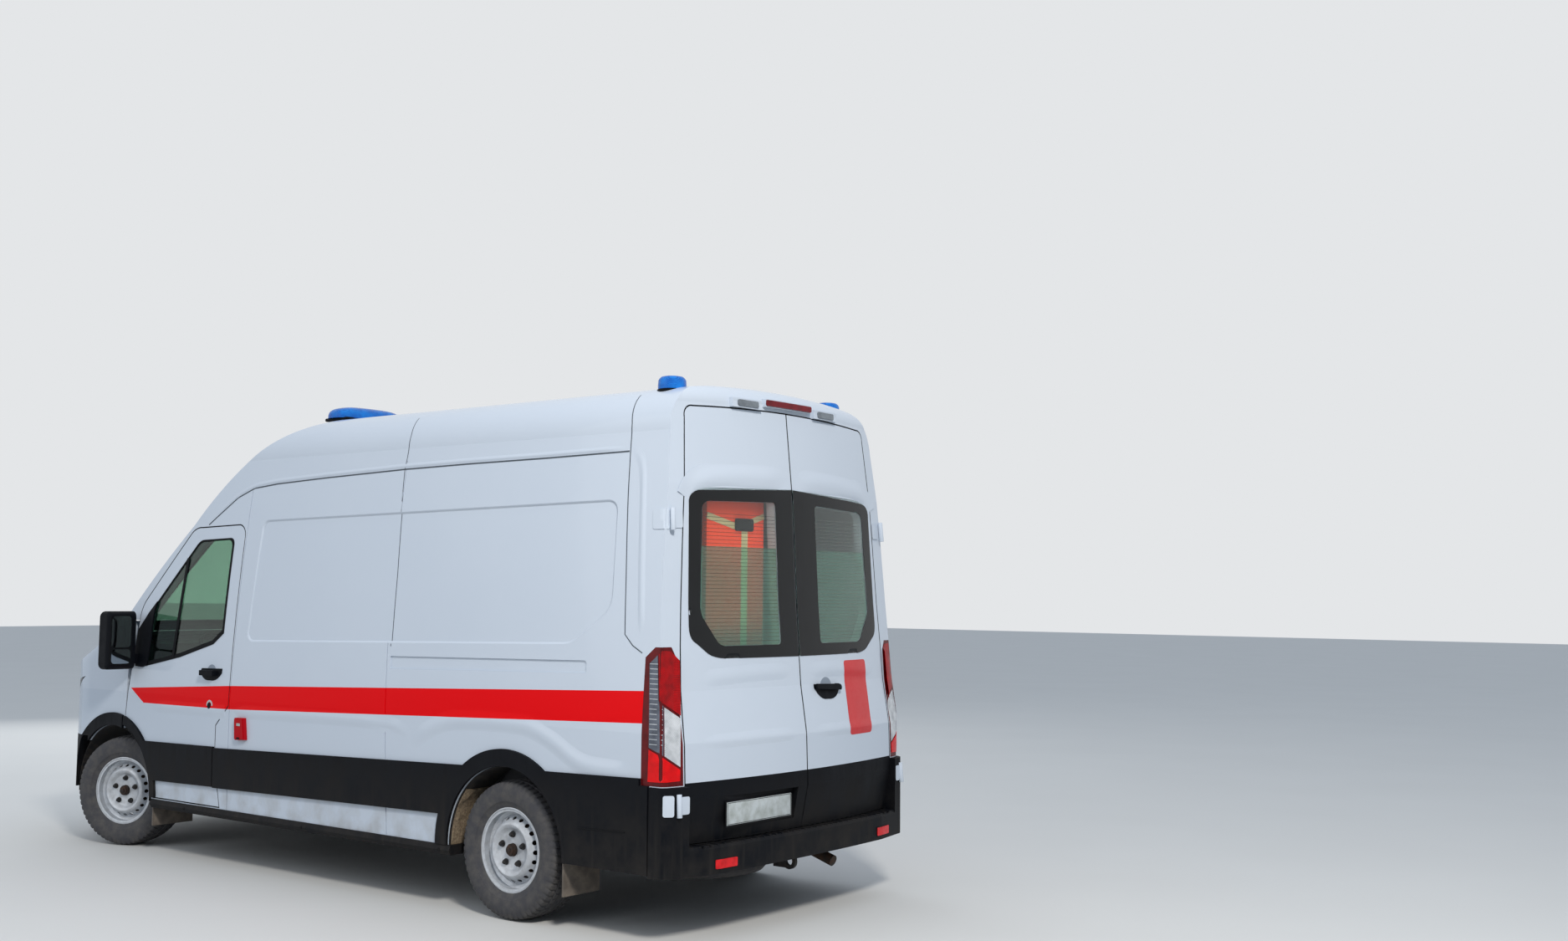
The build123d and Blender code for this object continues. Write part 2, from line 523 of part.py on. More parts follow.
# Black side mouldings and arch trims, proud of the painted sides
MOULD_TOP = [(-2790.0, 800.0), (-1474.0, 772.0), (818.0, 711.0)]
MOULD_LOW = [(-2790.0, 536.0), (-1474.0, 508.0), (818.0, 470.0)]
REAR_LOW = [(-2790.0, SKIN_BOTTOM), (REAR_X - 300.0, SKIN_BOTTOM)]
side_band = band(MOULD_TOP, MOULD_LOW, 0.0, WIDE)
tail_band = prism_y((-2790.0, SKIN_BOTTOM), [(REAR_X, SKIN_BOTTOM), (REAR_X, 600.0),
                                             (-2790.0, 700.0)], 0.0, WIDE)
rear_ring = arch(REAR_X, ARCH_R + ARCH_TRIM_W, 0.0, WIDE)
fixed_strip = proud & (side_band + tail_band + rear_ring)
fixed_strip = fixed_strip - arch(REAR_X, ARCH_R, 0.0, WIDE) - lamp_place
fixed_strip = fixed_strip & box(-2784.0, DOOR_STEPS[0][0] - SEAM, 0.0, WIDE, SKIN_BOTTOM, 1200.0)
door_strip_zone = prism_y((FRONT_X, 700.0), [(818.0, 718.0), (818.0, 475.0), (FRONT_X, 455.0)],
                          0.0, WIDE)
front_ring = arch(FRONT_X, ARCH_R + ARCH_TRIM_W - 8.0, 0.0, WIDE)
door_place = side_cut(DOOR_START, DOOR_STEPS, 0.0, 1.0)
door_strip = proud & (door_strip_zone + front_ring) & door_place
wing_ring = (proud & front_ring) - arch(FRONT_X, ARCH_R, 0.0, WIDE)
wing_ring = wing_ring & prism_y((1846.0 + SEAM, 1400.0),
                                [(1846.0 + SEAM, TYRE_R - 60.0), (FRONT_X, TYRE_R - 60.0),
                                 (FRONT_X, TYRE_R), (FAR_FRONT, TYRE_R),
                                 (FAR_FRONT, 1400.0)], 0.0, WIDE)
wing_ring = wing_ring - bumper_zone
trims = []
for piece in (fixed_strip, wing_ring):
    trims += [s for s in piece.solids() if s.volume > 2e4]
write("side_mouldings", Compound(children=trims + [mirrored(t) for t in trims]))

# Sill steps below the doors and mud flaps behind the wheels
SILL_TOP, SILL_DEPTH = SKIN_BOTTOM - FIT, 52.0
SILL_FRONT_X = FRONT_X - 480.0
sill = prism_x((900.0, SILL_TOP), [(1016.0, SILL_TOP), (1028.0, 318.0),
                                   (1016.0, SILL_TOP - SILL_DEPTH),
                                   (930.0, SILL_TOP - SILL_DEPTH)],
               REAR_X + 400.0, SILL_FRONT_X)
FLAP_T, FLAP_LOW = 10.0, 175.0
FLAP_X = REAR_X - 418.0
flap_rear = box(FLAP_X - FLAP_T, FLAP_X, 745.0, 1000.0, FLAP_LOW, SKIN_BOTTOM - 5.0)
flap_rear += box(FLAP_X - FLAP_T, FLAP_X, 745.0, 950.0, FLAP_LOW, FLOOR_Z - FLOOR_T - FIT)
sill += box(SILL_FRONT_X, SILL_FRONT_X + FLAP_T, 720.0, 1000.0, FLAP_LOW, SILL_TOP)
lower = [sill, flap_rear]
write("lower_trim", Compound(children=[s for f in lower for s in (f.solids()[0], mirrored(f.solids()[0]))]))

# Roof lamps: the blue bar on the cap, two beacons and the lamps over the rear doors
BAR_X, BAR_DEPTH, BAR_HALF, BAR_TOP = 230.0, 260.0, 660.0, 2830.0
BAR_LOW = ROOF_TOP + 2.0
bar = Pos(BAR_X, 0, BAR_LOW) * extrude(Rot(0, 0, 90) * SlotOverall(2 * BAR_HALF, BAR_DEPTH),
                                       amount=BAR_TOP - BAR_LOW)
bar = fillet(bar.edges().group_by(Axis.Z)[-1], 38.0)
seat_roof = Pos(0, 0, FIT) * outer
for side in (-1, 1):
    y0, y1 = sorted((side * 250.0, side * (BAR_HALF - 40.0)))
    skirt = box(BAR_X - 100.0, BAR_X + 100.0, y0, y1, 2690.0, BAR_LOW + 10.0) - seat_roof
    bar += max(skirt.solids(), key=lambda q: q.center().Z)
write("light_bar", bar)

BEACON_X, BEACON_Y, BEACON_R, BEACON_H = -2594.0, 674.0, 75.0, 66.0
beacon_z = 2722.0
beacon = Pos(BEACON_X, BEACON_Y, beacon_z) * Cylinder(BEACON_R, BEACON_H,
                                                     align=(Align.CENTER, Align.CENTER, Align.MIN))
beacon = fillet(beacon.edges().sort_by(Axis.Z)[-1], 24.0)
beacon += Pos(BEACON_X, BEACON_Y, beacon_z - 50.0) * Cylinder(
    BEACON_R + 6.0, 62.0, align=(Align.CENTER, Align.CENTER, Align.MIN))
beacon -= outer
beacon = beacon.solids().sort_by(SortBy.VOLUME)[-1]
write("roof_beacons", Compound(children=[beacon, mirrored(beacon)]))

head = envelope(0.0, -22.0, 0.0, -22.0) - outer
BRAKE_HALF, SCENE_LAMP_IN, SCENE_LAMP_OUT = 198.0, 230.0, 456.0
brake = head & box(FAR_BACK, -2600.0, -BRAKE_HALF, BRAKE_HALF, 2664.0, 2706.0)
scene_lamp = head & box(FAR_BACK, -2600.0, SCENE_LAMP_IN, SCENE_LAMP_OUT, 2642.0, 2690.0)
lamps = [max(x.solids(), key=lambda q: q.volume) for x in (brake, scene_lamp)]
write("rear_roof_lamps", Compound(children=[lamps[0], lamps[1], mirrored(lamps[1])]))

# Floor with wheel boxes, bulkhead behind the cab, firewall and front wheel houses
FLOOR_HALF = SKIN_HALF - SIDE_T - 0.8
WALL_X = 640.0
FIREWALL_X = 2050.0
floor = box(-2780.0, FIREWALL_X, -FLOOR_HALF, FLOOR_HALF, FLOOR_Z - FLOOR_T, FLOOR_Z)
for side in (-1, 1):
    y_in, y_out = sorted((side * 725.0, side * FLOOR_HALF))
    wheel_box = arch(REAR_X, ARCH_R + 30.0, y_in, y_out)
    wheel_box = wheel_box & box(REAR_X - 600.0, REAR_X + 600.0, y_in, y_out,
                                FLOOR_Z - FLOOR_T, 1200.0)
    floor += wheel_box
for side in (-1, 1):
    y_in, y_out = sorted((side * 733.0, side * (FLOOR_HALF + 10.0)))
    floor -= arch(REAR_X, ARCH_R + 20.0, y_in, y_out)
    y_in, y_out = sorted((side * (HOUSE_IN - 12.0), side * (FLOOR_HALF + 10.0)))
    floor -= arch(FRONT_X, ARCH_R + 14.0, y_in, y_out)
LINING_T, LINING_HALF = 12.0, 700.0       # raised floor lining between the wheel boxes
floor += box(-2690.0, WALL_X - 40.0, -LINING_HALF, LINING_HALF, FLOOR_Z - 1.0,
             FLOOR_Z + LINING_T)
write("floor_pan", floor)

inside = envelope(SIDE_T + 3.0, ROOF_T + 3.0, 60.0, REAR_T + 10.0, low)
wall = inside & box(WALL_X - 30.0, WALL_X, -WIDE, WIDE, FLOOR_Z + FIT, FAR_UP)
wall -= box(WALL_X - 60.0, WALL_X + 60.0, 120.0, 560.0, 1420.0, 1780.0)
write("bulkhead", wall)

RAILS_END_X = 2702.0
fire = box(FIREWALL_X + FIT, 2082.0, -FLOOR_HALF + 20, FLOOR_HALF - 20, 602.0, 1290.0)
cowl = box(2082.0, 2190.0, -700.0, 700.0, 1180.0, 1290.0)
carrier = box(RAILS_END_X + FIT, RAILS_END_X + 40.0, -482.0, 482.0, 480.0, 930.0)
carrier -= box(RAILS_END_X - 10.0, RAILS_END_X + 60.0, -360.0, 360.0, 560.0, 880.0)
front_shell = fire + cowl
for side in (-1, 1):
    y_in, y_out = sorted((side * HOUSE_IN, side * (FLOOR_HALF - 2.0)))
    house = arch(FRONT_X, ARCH_R + 12.0, y_in, y_out)
    house = house & box(FRONT_X - 600.0, FRONT_X + 600.0, y_in, y_out, 470.0, 1000.0)
    y_wall = sorted((side * (HOUSE_IN - 10.0), side * HOUSE_IN))
    plate = arch(FRONT_X, ARCH_R + 12.0, *y_wall)
    plate = plate & box(FRONT_X - 600.0, FRONT_X + 600.0, *y_wall, 470.0, 1000.0)
    front_shell += house + plate
for side in (-1, 1):
    y_in, y_out = sorted((side * HOUSE_IN, side * FLOOR_HALF))
    front_shell -= arch(FRONT_X, ARCH_R + 2.0, y_in, y_out)
HINGE_Y = 560.0           # bonnet hinge brackets on the cowl
for side in (-1, 1):
    y_in, y_out = sorted((side * (HINGE_Y - 15.0), side * (HINGE_Y + 15.0)))
    over = bonnet & box(BONNET_REAR_X + 4.0, BONNET_REAR_X + 44.0, y_in, y_out, 900.0, FAR_UP)
    seat_z = over.bounding_box().min.Z - FIT
    front_shell += box(2150.0, BONNET_REAR_X + 44.0, y_in, y_out, 1240.0, 1290.0)
    front_shell += box(BONNET_REAR_X + 4.0, BONNET_REAR_X + 44.0, y_in, y_out, 1240.0, seat_z)
write("cab_front", front_shell)

# Chassis: two rails with cross members, radiator carrier on the rails' front ends
SPARE_X, SPARE_Y, SPARE_Z, SPARE_BAR_X = -2350.0, 120.0, 330.0, -2450.0
RAIL_IN, RAIL_OUT, RAIL_LOW, RAIL_HIGH = 418.0, 482.0, 478.0, FLOOR_Z - FLOOR_T - FIT
rails = None
for side in (-1, 1):
    y0, y1 = sorted((side * RAIL_IN, side * RAIL_OUT))
    rail = box(-2780.0, RAILS_END_X, y0, y1, RAIL_LOW, RAIL_HIGH)
    rails = rail if rails is None else rails + rail
for x in (-2740.0, SPARE_BAR_X, -1100.0, -300.0, 500.0, 1250.0):
    rails += box(x - 30.0, x + 30.0, -RAIL_OUT, RAIL_OUT, RAIL_LOW + 10.0, RAIL_HIGH - 10.0)
rails += box(-2790.0 + FIT, -2760.0, -780.0, 780.0, RAIL_LOW - 60.0, RAIL_HIGH - 10.0)
for y in (SPARE_Y - BULGE_R + 18.0, SPARE_Y + BULGE_R - 18.0):
    rails += box(SPARE_BAR_X - 30.0, SPARE_BAR_X + 30.0, y - 30.0, y + 30.0,
                 SPARE_Z + TYRE_W / 2 + FIT, RAIL_LOW + 20.0)
EYE_R, EYE_T, EYE_X, EYE_Z = 22.0, 20.0, -2862.0, 296.0
eye = Pos(EYE_X, 0.0, EYE_Z) * Rot(90, 0, 0) * Cylinder(EYE_R + 20.0, EYE_T)
eye += box(EYE_X, -2764.0, -EYE_T / 2, EYE_T / 2, EYE_Z - 36.0, EYE_Z + 30.0)
eye += box(-2790.0 + FIT, -2760.0, -EYE_T / 2, EYE_T / 2, EYE_Z - 36.0, RAIL_LOW - 50.0)
eye -= Pos(EYE_X, 0.0, EYE_Z) * Rot(90, 0, 0) * Cylinder(EYE_R, EYE_T * 2)
rails += eye
write("chassis_frame", rails)
write("radiator_carrier", carrier)

engine = box(2110.0, 2690.0, -300.0, 300.0, 470.0, 1030.0)
engine += box(2380.0, 2440.0, -(RAIL_IN - FIT), RAIL_IN - FIT, 500.0, 560.0)
write("engine_block", engine)
tank = box(-250.0, 900.0, 500.0, 860.0, 330.0, FLOOR_Z - FLOOR_T - FIT)
tank = fillet(tank.edges().filter_by(Axis.X), 40.0)
write("fuel_tank", tank)
EXHAUST = [(1900.0, -200.0, 430.0), (1200.0, -330.0, 420.0), (-1180.0, -330.0, 420.0),
           (-1420.0, -330.0, 520.0), (-2150.0, -330.0, 560.0), (-2380.0, -330.0, 430.0),
           (-2560.0, -420.0, 330.0),
           (-2840.0, -420.0, 240.0)]
route = Polyline(*EXHAUST)
pipe = sweep(Plane(origin=route @ 0, z_dir=route % 0) * Circle(30.0), path=route,
             transition=Transition.RIGHT)
pipe += rod((900.0, -330.0, 415.0), (200.0, -330.0, 415.0), 66.0)
pipe += box(490.0, 510.0, -350.0, -310.0, 440.0, RAIL_LOW + 10.0 - FIT)
write("exhaust", pipe)


def revolved(start, steps):
    """Turn a profile of (width, radius) about the wheel's own axle, along Y."""
    return revolve(path_face(Plane.YZ, start, steps), axis=Axis.Y)


# Wheels: a steel rim with a vented disc, five bolts, and a tyre on its beads
def tyre_shape():
    half, bead = TYRE_W / 2, RIM_W / 2
    return revolved((-bead, RIM_R + FIT), [
        (-bead, RIM_LIP_R + 3.0), (-half, BULGE_R), (-half + 14.0, TYRE_R - 18.0),
        (-half + 34.0, TYRE_R), (half - 34.0, TYRE_R), (half - 14.0, TYRE_R - 18.0),
        (half, BULGE_R), (bead, RIM_LIP_R + 3.0), (bead, RIM_R + FIT)])


def rim_shape():
    b, t = RIM_W / 2, RIM_T
    lip = b + FIT
    well = RIM_R - WELL_DEPTH
    barrel = revolved((-lip - t, RIM_LIP_R), [
        (-lip, RIM_LIP_R), (-lip, RIM_R), (-b + 40.0, well), (b - 40.0, well), (lip, RIM_R),
        (lip, RIM_LIP_R), (lip + RIM_LIP_W, RIM_LIP_R - 2.0), (lip + t, RIM_R - t),
        (b - 36.0, well - t), (-b + 36.0, well - t), (-lip - t, RIM_R - t)])
    disc = revolved((HUB_FACE, 33.0), [
        (HUB_FACE + 12.0, 33.0), (HUB_FACE + 12.0, 98.0), (HUB_FACE + 34.0, 120.0),
        (HUB_FACE + 34.0, 136.0), (HUB_FACE - 12.0, 176.0), (HUB_FACE - 44.0, well + 4.0 - t),
        (HUB_FACE - 24.0, 174.0), (HUB_FACE + 21.0, 134.0), (HUB_FACE, 104.0)])
    rim = barrel + disc
    for i in range(BOLT_COUNT):
        a = radians(90.0 + i * 360.0 / BOLT_COUNT)
        x, z = BOLT_PCD / 2 * cos(a), BOLT_PCD / 2 * sin(a)
        nut = Pos(x, HUB_FACE + 10.0, z) * Rot(-90, 0, 0) * extrude(
            RegularPolygon(12.5, 6), amount=22.0)
        rim += nut
    return rim


rim, tyre = rim_shape(), tyre_shape()


def steered(shape, side):
    """Turn a piece that stands for straight-ahead steering to the rest angle."""
    pivot = Pos(FRONT_X, side * KINGPIN_Y, 0)
    back = Pos(-FRONT_X, -side * KINGPIN_Y, 0)
    return pivot * Rot(0, 0, STEER_REST) * back * shape


def axle_end(shape, x, half_track, side):
    placed = Pos(x, half_track, TYRE_R) * shape
    return placed if side > 0 else mirrored(placed)


for side, word in ((1, "left"), (-1, "right")):
    for name, shape in (("rim", rim), ("tyre", tyre)):
        front = steered(axle_end(shape, FRONT_X, TRACK_FRONT / 2, side), side)
        write(f"front_{word}_{name}", front)
        write(f"rear_{word}_{name}", axle_end(shape, REAR_X, TRACK_REAR / 2, side))

# Front knuckles: hub, brake disc and steering arm, turning about an upright pivot
HUB_GAP = 0.4
BALL_Z, BALL_TOP_Z = 205.0, 500.0
hub_y = TRACK_FRONT / 2 + HUB_FACE - HUB_GAP
knuckle = Pos(FRONT_X, (800.0 + hub_y) / 2, TYRE_R) * Rot(90, 0, 0) * Cylinder(74.0, hub_y - 800.0)
knuckle += Pos(FRONT_X, hub_y, TYRE_R) * Rot(90, 0, 0) * Cylinder(30.0, 60.0)
knuckle += Pos(FRONT_X, 852.0, TYRE_R) * Rot(90, 0, 0) * Cylinder(150.0, 24.0)
knuckle += box(FRONT_X - 32.0, FRONT_X + 32.0, 770.0, 806.0, BALL_Z + 15.4, BALL_TOP_Z)
knuckle += box(FRONT_X - 150.0, FRONT_X, 772.0, 800.0, 300.0, 330.0)
for side, word in ((1, "left"), (-1, "right")):
    placed = knuckle if side > 0 else mirrored(knuckle)
    write(f"{word}_knuckle", steered(placed, side))

# Front suspension: beam between the rails, lower arms and spring struts
beam = box(FRONT_X - 90.0, FRONT_X + 90.0, -500.0, 500.0, 190.0, 300.0)
beam -= box(FRONT_X - 60.0, FRONT_X + 60.0, -420.0, 420.0, 180.0, 250.0)
for side in (-1, 1):
    y0, y1 = sorted((side * 430.0, side * 480.0))
    beam += box(FRONT_X - 60.0, FRONT_X + 60.0, y0, y1, 290.0, RAIL_LOW - FIT)
    beam += rod((FRONT_X - 120.0, side * 460.0, 205.0), (FRONT_X, side * 800.0, 205.0), 15.0)
    beam += rod((FRONT_X + 60.0, side * 480.0, 205.0), (FRONT_X, side * 800.0, 205.0), 15.0)
write("front_suspension", beam)

# Rear axle on two leaf springs
axle = rod((REAR_X, -800.0, TYRE_R), (REAR_X, 800.0, TYRE_R), 42.0)
axle += rod((REAR_X, -80.0, TYRE_R), (REAR_X, 80.0, TYRE_R), 150.0)
rear_hub = TRACK_REAR / 2 + HUB_FACE - HUB_GAP
for side in (-1, 1):
    axle += rod((REAR_X, side * 800.0, TYRE_R), (REAR_X, side * rear_hub, TYRE_R), 74.0)
    axle += rod((REAR_X, side * rear_hub, TYRE_R), (REAR_X, side * (rear_hub + 30.0), TYRE_R), 30.0)
    axle += rod((REAR_X, side * 840.0, TYRE_R), (REAR_X, side * 866.0, TYRE_R), 148.0)
write("rear_axle", axle)
SPRING_Y, SPRING_W = 590.0, 70.0
springs = []
for side in (-1, 1):
    y0, y1 = side * SPRING_Y - SPRING_W / 2, side * SPRING_Y + SPRING_W / 2
    leaf = prism_y((REAR_X - 700.0, 560.0),
                   [((REAR_X, 412.0), (REAR_X + 700.0, 540.0)), (REAR_X + 700.0, 520.0),
                    ((REAR_X, 400.0 + FIT), (REAR_X - 700.0, 538.0))], y0, y1)
    leaf += box(REAR_X - 110.0, REAR_X + 110.0, y0, y1, TYRE_R + 42.0 + FIT, 434.0) - rod(
        (REAR_X, y0 - 5, TYRE_R), (REAR_X, y1 + 5, TYRE_R), 42.0 + FIT)
    for x, z in ((REAR_X - 700.0, 549.0), (REAR_X + 700.0, 530.0)):
        leaf += rod((x, y0, z), (x, y1, z), 24.0)
        leaf += box(x - 20.0, x + 20.0, y0 + 20, y1 - 20, z, FLOOR_Z - FLOOR_T - FIT)
    springs.append(leaf)
write("leaf_springs", Compound(children=[x.solids()[0] for x in springs]))
write("spare_wheel", Compound(children=[Pos(SPARE_X, SPARE_Y, SPARE_Z) * Rot(90, 0, 0) * q
                                        for q in (tyre.solids()[0], rim.solids()[0])]))

# Cab inside: dashboard, steering wheel, seats
dash = prism_y((FIREWALL_X, 1300.0), [(1960.0, 1330.0), (1700.0, 1322.0), (1650.0, 1230.0),
                                      (1690.0, 1080.0), (1820.0, 960.0), (FIREWALL_X, 940.0)],
               -880.0, 880.0)
write("dashboard", dash)
WHEEL_TILT = 28.0
WHEEL_AT = (1560.0, 440.0, 1290.0)
ring = revolve(Plane.XZ * Pos(190.0, 0.0) * RegularPolygon(15.5, 6), axis=Axis.Z)
spokes = Cylinder(46.0, 30.0)
for a in (0.0, 120.0, 240.0):
    spokes += Rot(0, 0, a + 90.0) * box(30.0, 184.0, -14.0, 14.0, -8.0, 8.0)
column = Pos(0, 0, -112.0) * Cylinder(34.0, 200.0)
wheel = ring + spokes + column
wheel = Pos(*WHEEL_AT) * Rot(0, -WHEEL_TILT, 0) * wheel
wheel -= Pos(-FIT, 0, 0) * dash
write("steering_wheel", max(wheel.solids(), key=lambda q: q.volume))


def seat(y0, y1):
    cushion = prism_y((1000.0, 990.0), [(1430.0, 1010.0), ((1490.0, 1050.0), (1450.0, 1112.0)),
                                        (1080.0, 1080.0), (1000.0, 1084.0)], y0, y1)
    back = prism_y((960.0, 1030.0), [(1080.0, 1040.0), (940.0, 1720.0),
                                     ((900.0, 1750.0), (862.0, 1720.0)), (880.0, 1400.0)],
                   y0, y1)
    base = box(1040.0, 1400.0, y0 + 60.0, y1 - 60.0, FLOOR_Z + FIT, 1000.0)
    return base + cushion + back


seats = [seat(190.0, 700.0), seat(-800.0, 90.0)]
write("cab_seats", Compound(children=[x.solids()[0] for x in seats]))

board = box(-2742.0, -2712.0, 100.0, 566.0, FLOOR_Z + FIT, 2300.0)
board = fillet(board.edges().filter_by(Axis.X), 60.0)
write("rescue_board", board)

# Mirrors, door handles and mouldings ride on the front doors
mirror_shell = box(1694.0, 1822.0, 1048.0, MIRROR_WIDTH / 2, 1162.0, 1536.0)
mirror_shell = fillet(mirror_shell.edges().filter_by(Axis.Y), 40.0)
mirror_shell = fillet(mirror_shell.edges().group_by(Axis.Y)[-1], 26.0)
arm = box(1716.0, 1790.0, 940.0, 1060.0, 1196.0, 1262.0) - outer
mirror_part = mirror_shell + max(arm.solids(), key=lambda q: q.center().Y)
handle = box(822.0, 962.0, SKIN_HALF - 12.0, SKIN_HALF + 34.0, 1150.0, 1182.0) - outer
handle = max(handle.solids(), key=lambda q: q.volume)
strips = [q for q in door_strip.solids() if q.volume > 1e4]
door_bits = [max(mirror_part.solids(), key=lambda q: q.volume), handle] + strips
write("left_door_trim", Compound(children=door_bits))
write("right_door_trim", Compound(children=[mirrored(q) for q in door_bits]))
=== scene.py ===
import bmesh
import bpy
import json
from math import cos, hypot, pi, radians, sin
from mathutils import Matrix, Vector, noise
from mathutils.bvhtree import BVHTree
from mathutils.geometry import delaunay_2d_cdt


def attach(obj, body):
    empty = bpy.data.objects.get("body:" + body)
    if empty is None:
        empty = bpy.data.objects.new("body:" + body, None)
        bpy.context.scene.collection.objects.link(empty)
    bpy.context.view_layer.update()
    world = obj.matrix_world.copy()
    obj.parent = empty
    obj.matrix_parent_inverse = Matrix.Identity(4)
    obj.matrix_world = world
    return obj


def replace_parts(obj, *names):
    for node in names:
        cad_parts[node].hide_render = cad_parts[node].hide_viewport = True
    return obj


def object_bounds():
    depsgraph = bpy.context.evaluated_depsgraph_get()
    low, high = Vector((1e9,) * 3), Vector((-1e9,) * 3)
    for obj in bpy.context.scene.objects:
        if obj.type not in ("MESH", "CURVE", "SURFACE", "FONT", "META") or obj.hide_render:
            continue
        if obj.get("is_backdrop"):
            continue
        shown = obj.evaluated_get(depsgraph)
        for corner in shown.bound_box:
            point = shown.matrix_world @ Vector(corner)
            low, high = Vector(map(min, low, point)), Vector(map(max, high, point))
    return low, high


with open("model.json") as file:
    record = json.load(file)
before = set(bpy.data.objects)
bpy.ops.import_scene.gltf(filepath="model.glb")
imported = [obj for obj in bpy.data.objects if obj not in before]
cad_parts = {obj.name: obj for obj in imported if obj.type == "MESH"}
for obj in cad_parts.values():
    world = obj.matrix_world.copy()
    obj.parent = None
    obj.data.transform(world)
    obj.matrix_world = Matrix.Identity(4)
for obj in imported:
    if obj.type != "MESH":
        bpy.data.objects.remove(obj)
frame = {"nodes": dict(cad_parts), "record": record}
cad_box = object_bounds()

# The eye stands behind the ambulance and to its left, as in the photograph.
# Places are in metres, in the vehicle's frame; the picture is 1875 by 1125.
EYE = Vector((-7.875, 6.638, 1.685))
EYE_YAW, EYE_PITCH, EYE_ROLL = radians(-52.61), radians(4.50), radians(0.49)


def placed(name, data):
    """A new object of the scene."""
    thing = bpy.data.objects.new(name, data)
    bpy.context.scene.collection.objects.link(thing)
    return thing


eye_lens = bpy.data.cameras.new("eye")
eye_lens.sensor_width, eye_lens.lens = 36.0, 35.98      # millimetres
eye = placed("eye", eye_lens)
bpy.context.scene.camera = eye
ahead = Vector((cos(EYE_YAW) * cos(EYE_PITCH), sin(EYE_YAW) * cos(EYE_PITCH), sin(EYE_PITCH)))
level = Vector((sin(EYE_YAW), -cos(EYE_YAW), 0.0))
upward = level.cross(ahead)
rolled_right = level * cos(EYE_ROLL) + upward * sin(EYE_ROLL)
rolled_up = upward * cos(EYE_ROLL) - level * sin(EYE_ROLL)
turn = Matrix((rolled_right, rolled_up, -ahead)).transposed().to_4x4()
eye.matrix_world = Matrix.Translation(EYE) @ turn


# The body shell is pressed steel, primed, sprayed white and clear coated in the paint shop.
# A red vinyl band runs along each side, and the panels are painted darker in patches towards the
# sills: painted shade with a little road film.
WAVE_OF_ORANGE_PEEL = 0.005       # real waves are 2 to 3 mm, drawn at 5 mm to show
BAND_TOP = ((-2.77, 1.215), (0.694, 1.094), (1.789, 1.037))      # x, z along each edge
BAND_LOW = ((-2.77, 1.060), (0.704, 0.952), (1.629, 0.947))
BAND_TAIL_X, BAND_NOSE_X, BAND_SLANT = -2.765, 1.789, -1.75
CLEAR_COAT = 0.5                  # the vinyl band has none


def linear(hex_colour):
    """An sRGB hex colour as linear values."""
    parts = [int(hex_colour[i:i + 2], 16) / 255 for i in (1, 3, 5)]
    parts = [c / 12.92 if c <= 0.04045 else ((c + 0.055) / 1.055) ** 2.4 for c in parts]
    return (*parts, 1.0)


def add(tree, kind, *values, **named):
    """Add a node: lower-case words are settings, the rest its sockets. Gives its output."""
    node = tree.nodes.new("ShaderNode" + kind)
    for word, value in named.items():
        if word[0].islower():
            setattr(node, word, value)
    given = list(zip([s for s in node.inputs if s.enabled], values))
    given += [(node.inputs[word.replace("_", " ")], value)
              for word, value in named.items() if word[0].isupper()]
    for socket, value in given:
        if isinstance(value, bpy.types.NodeSocket):
            tree.links.new(value, socket)
        else:
            socket.default_value = value
    return next((s for s in node.outputs if s.enabled), None)


def new_finish(name):
    """An empty finish, its tree and where a point of the piece lies."""
    finish = bpy.data.materials.new(name)
    finish.use_nodes = True
    finish.node_tree.nodes.clear()
    where = add(finish.node_tree, "TexCoord").node.outputs["Object"]
    return finish, finish.node_tree, where


def surface(tree, share, tone, second_tone, **named):
    """End a finish with two tones mixed by a share, and the other values of its surface."""
    colour = add(tree, "Mix", share, linear(tone), linear(second_tone), data_type="RGBA")
    add(tree, "OutputMaterial", add(tree, "BsdfPrincipled", Base_Color=colour, **named))


def paint(finish, *nodes):
    """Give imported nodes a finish."""
    for name in nodes:
        mesh = frame["nodes"][name].data
        mesh.materials.clear()
        mesh.materials.append(finish)


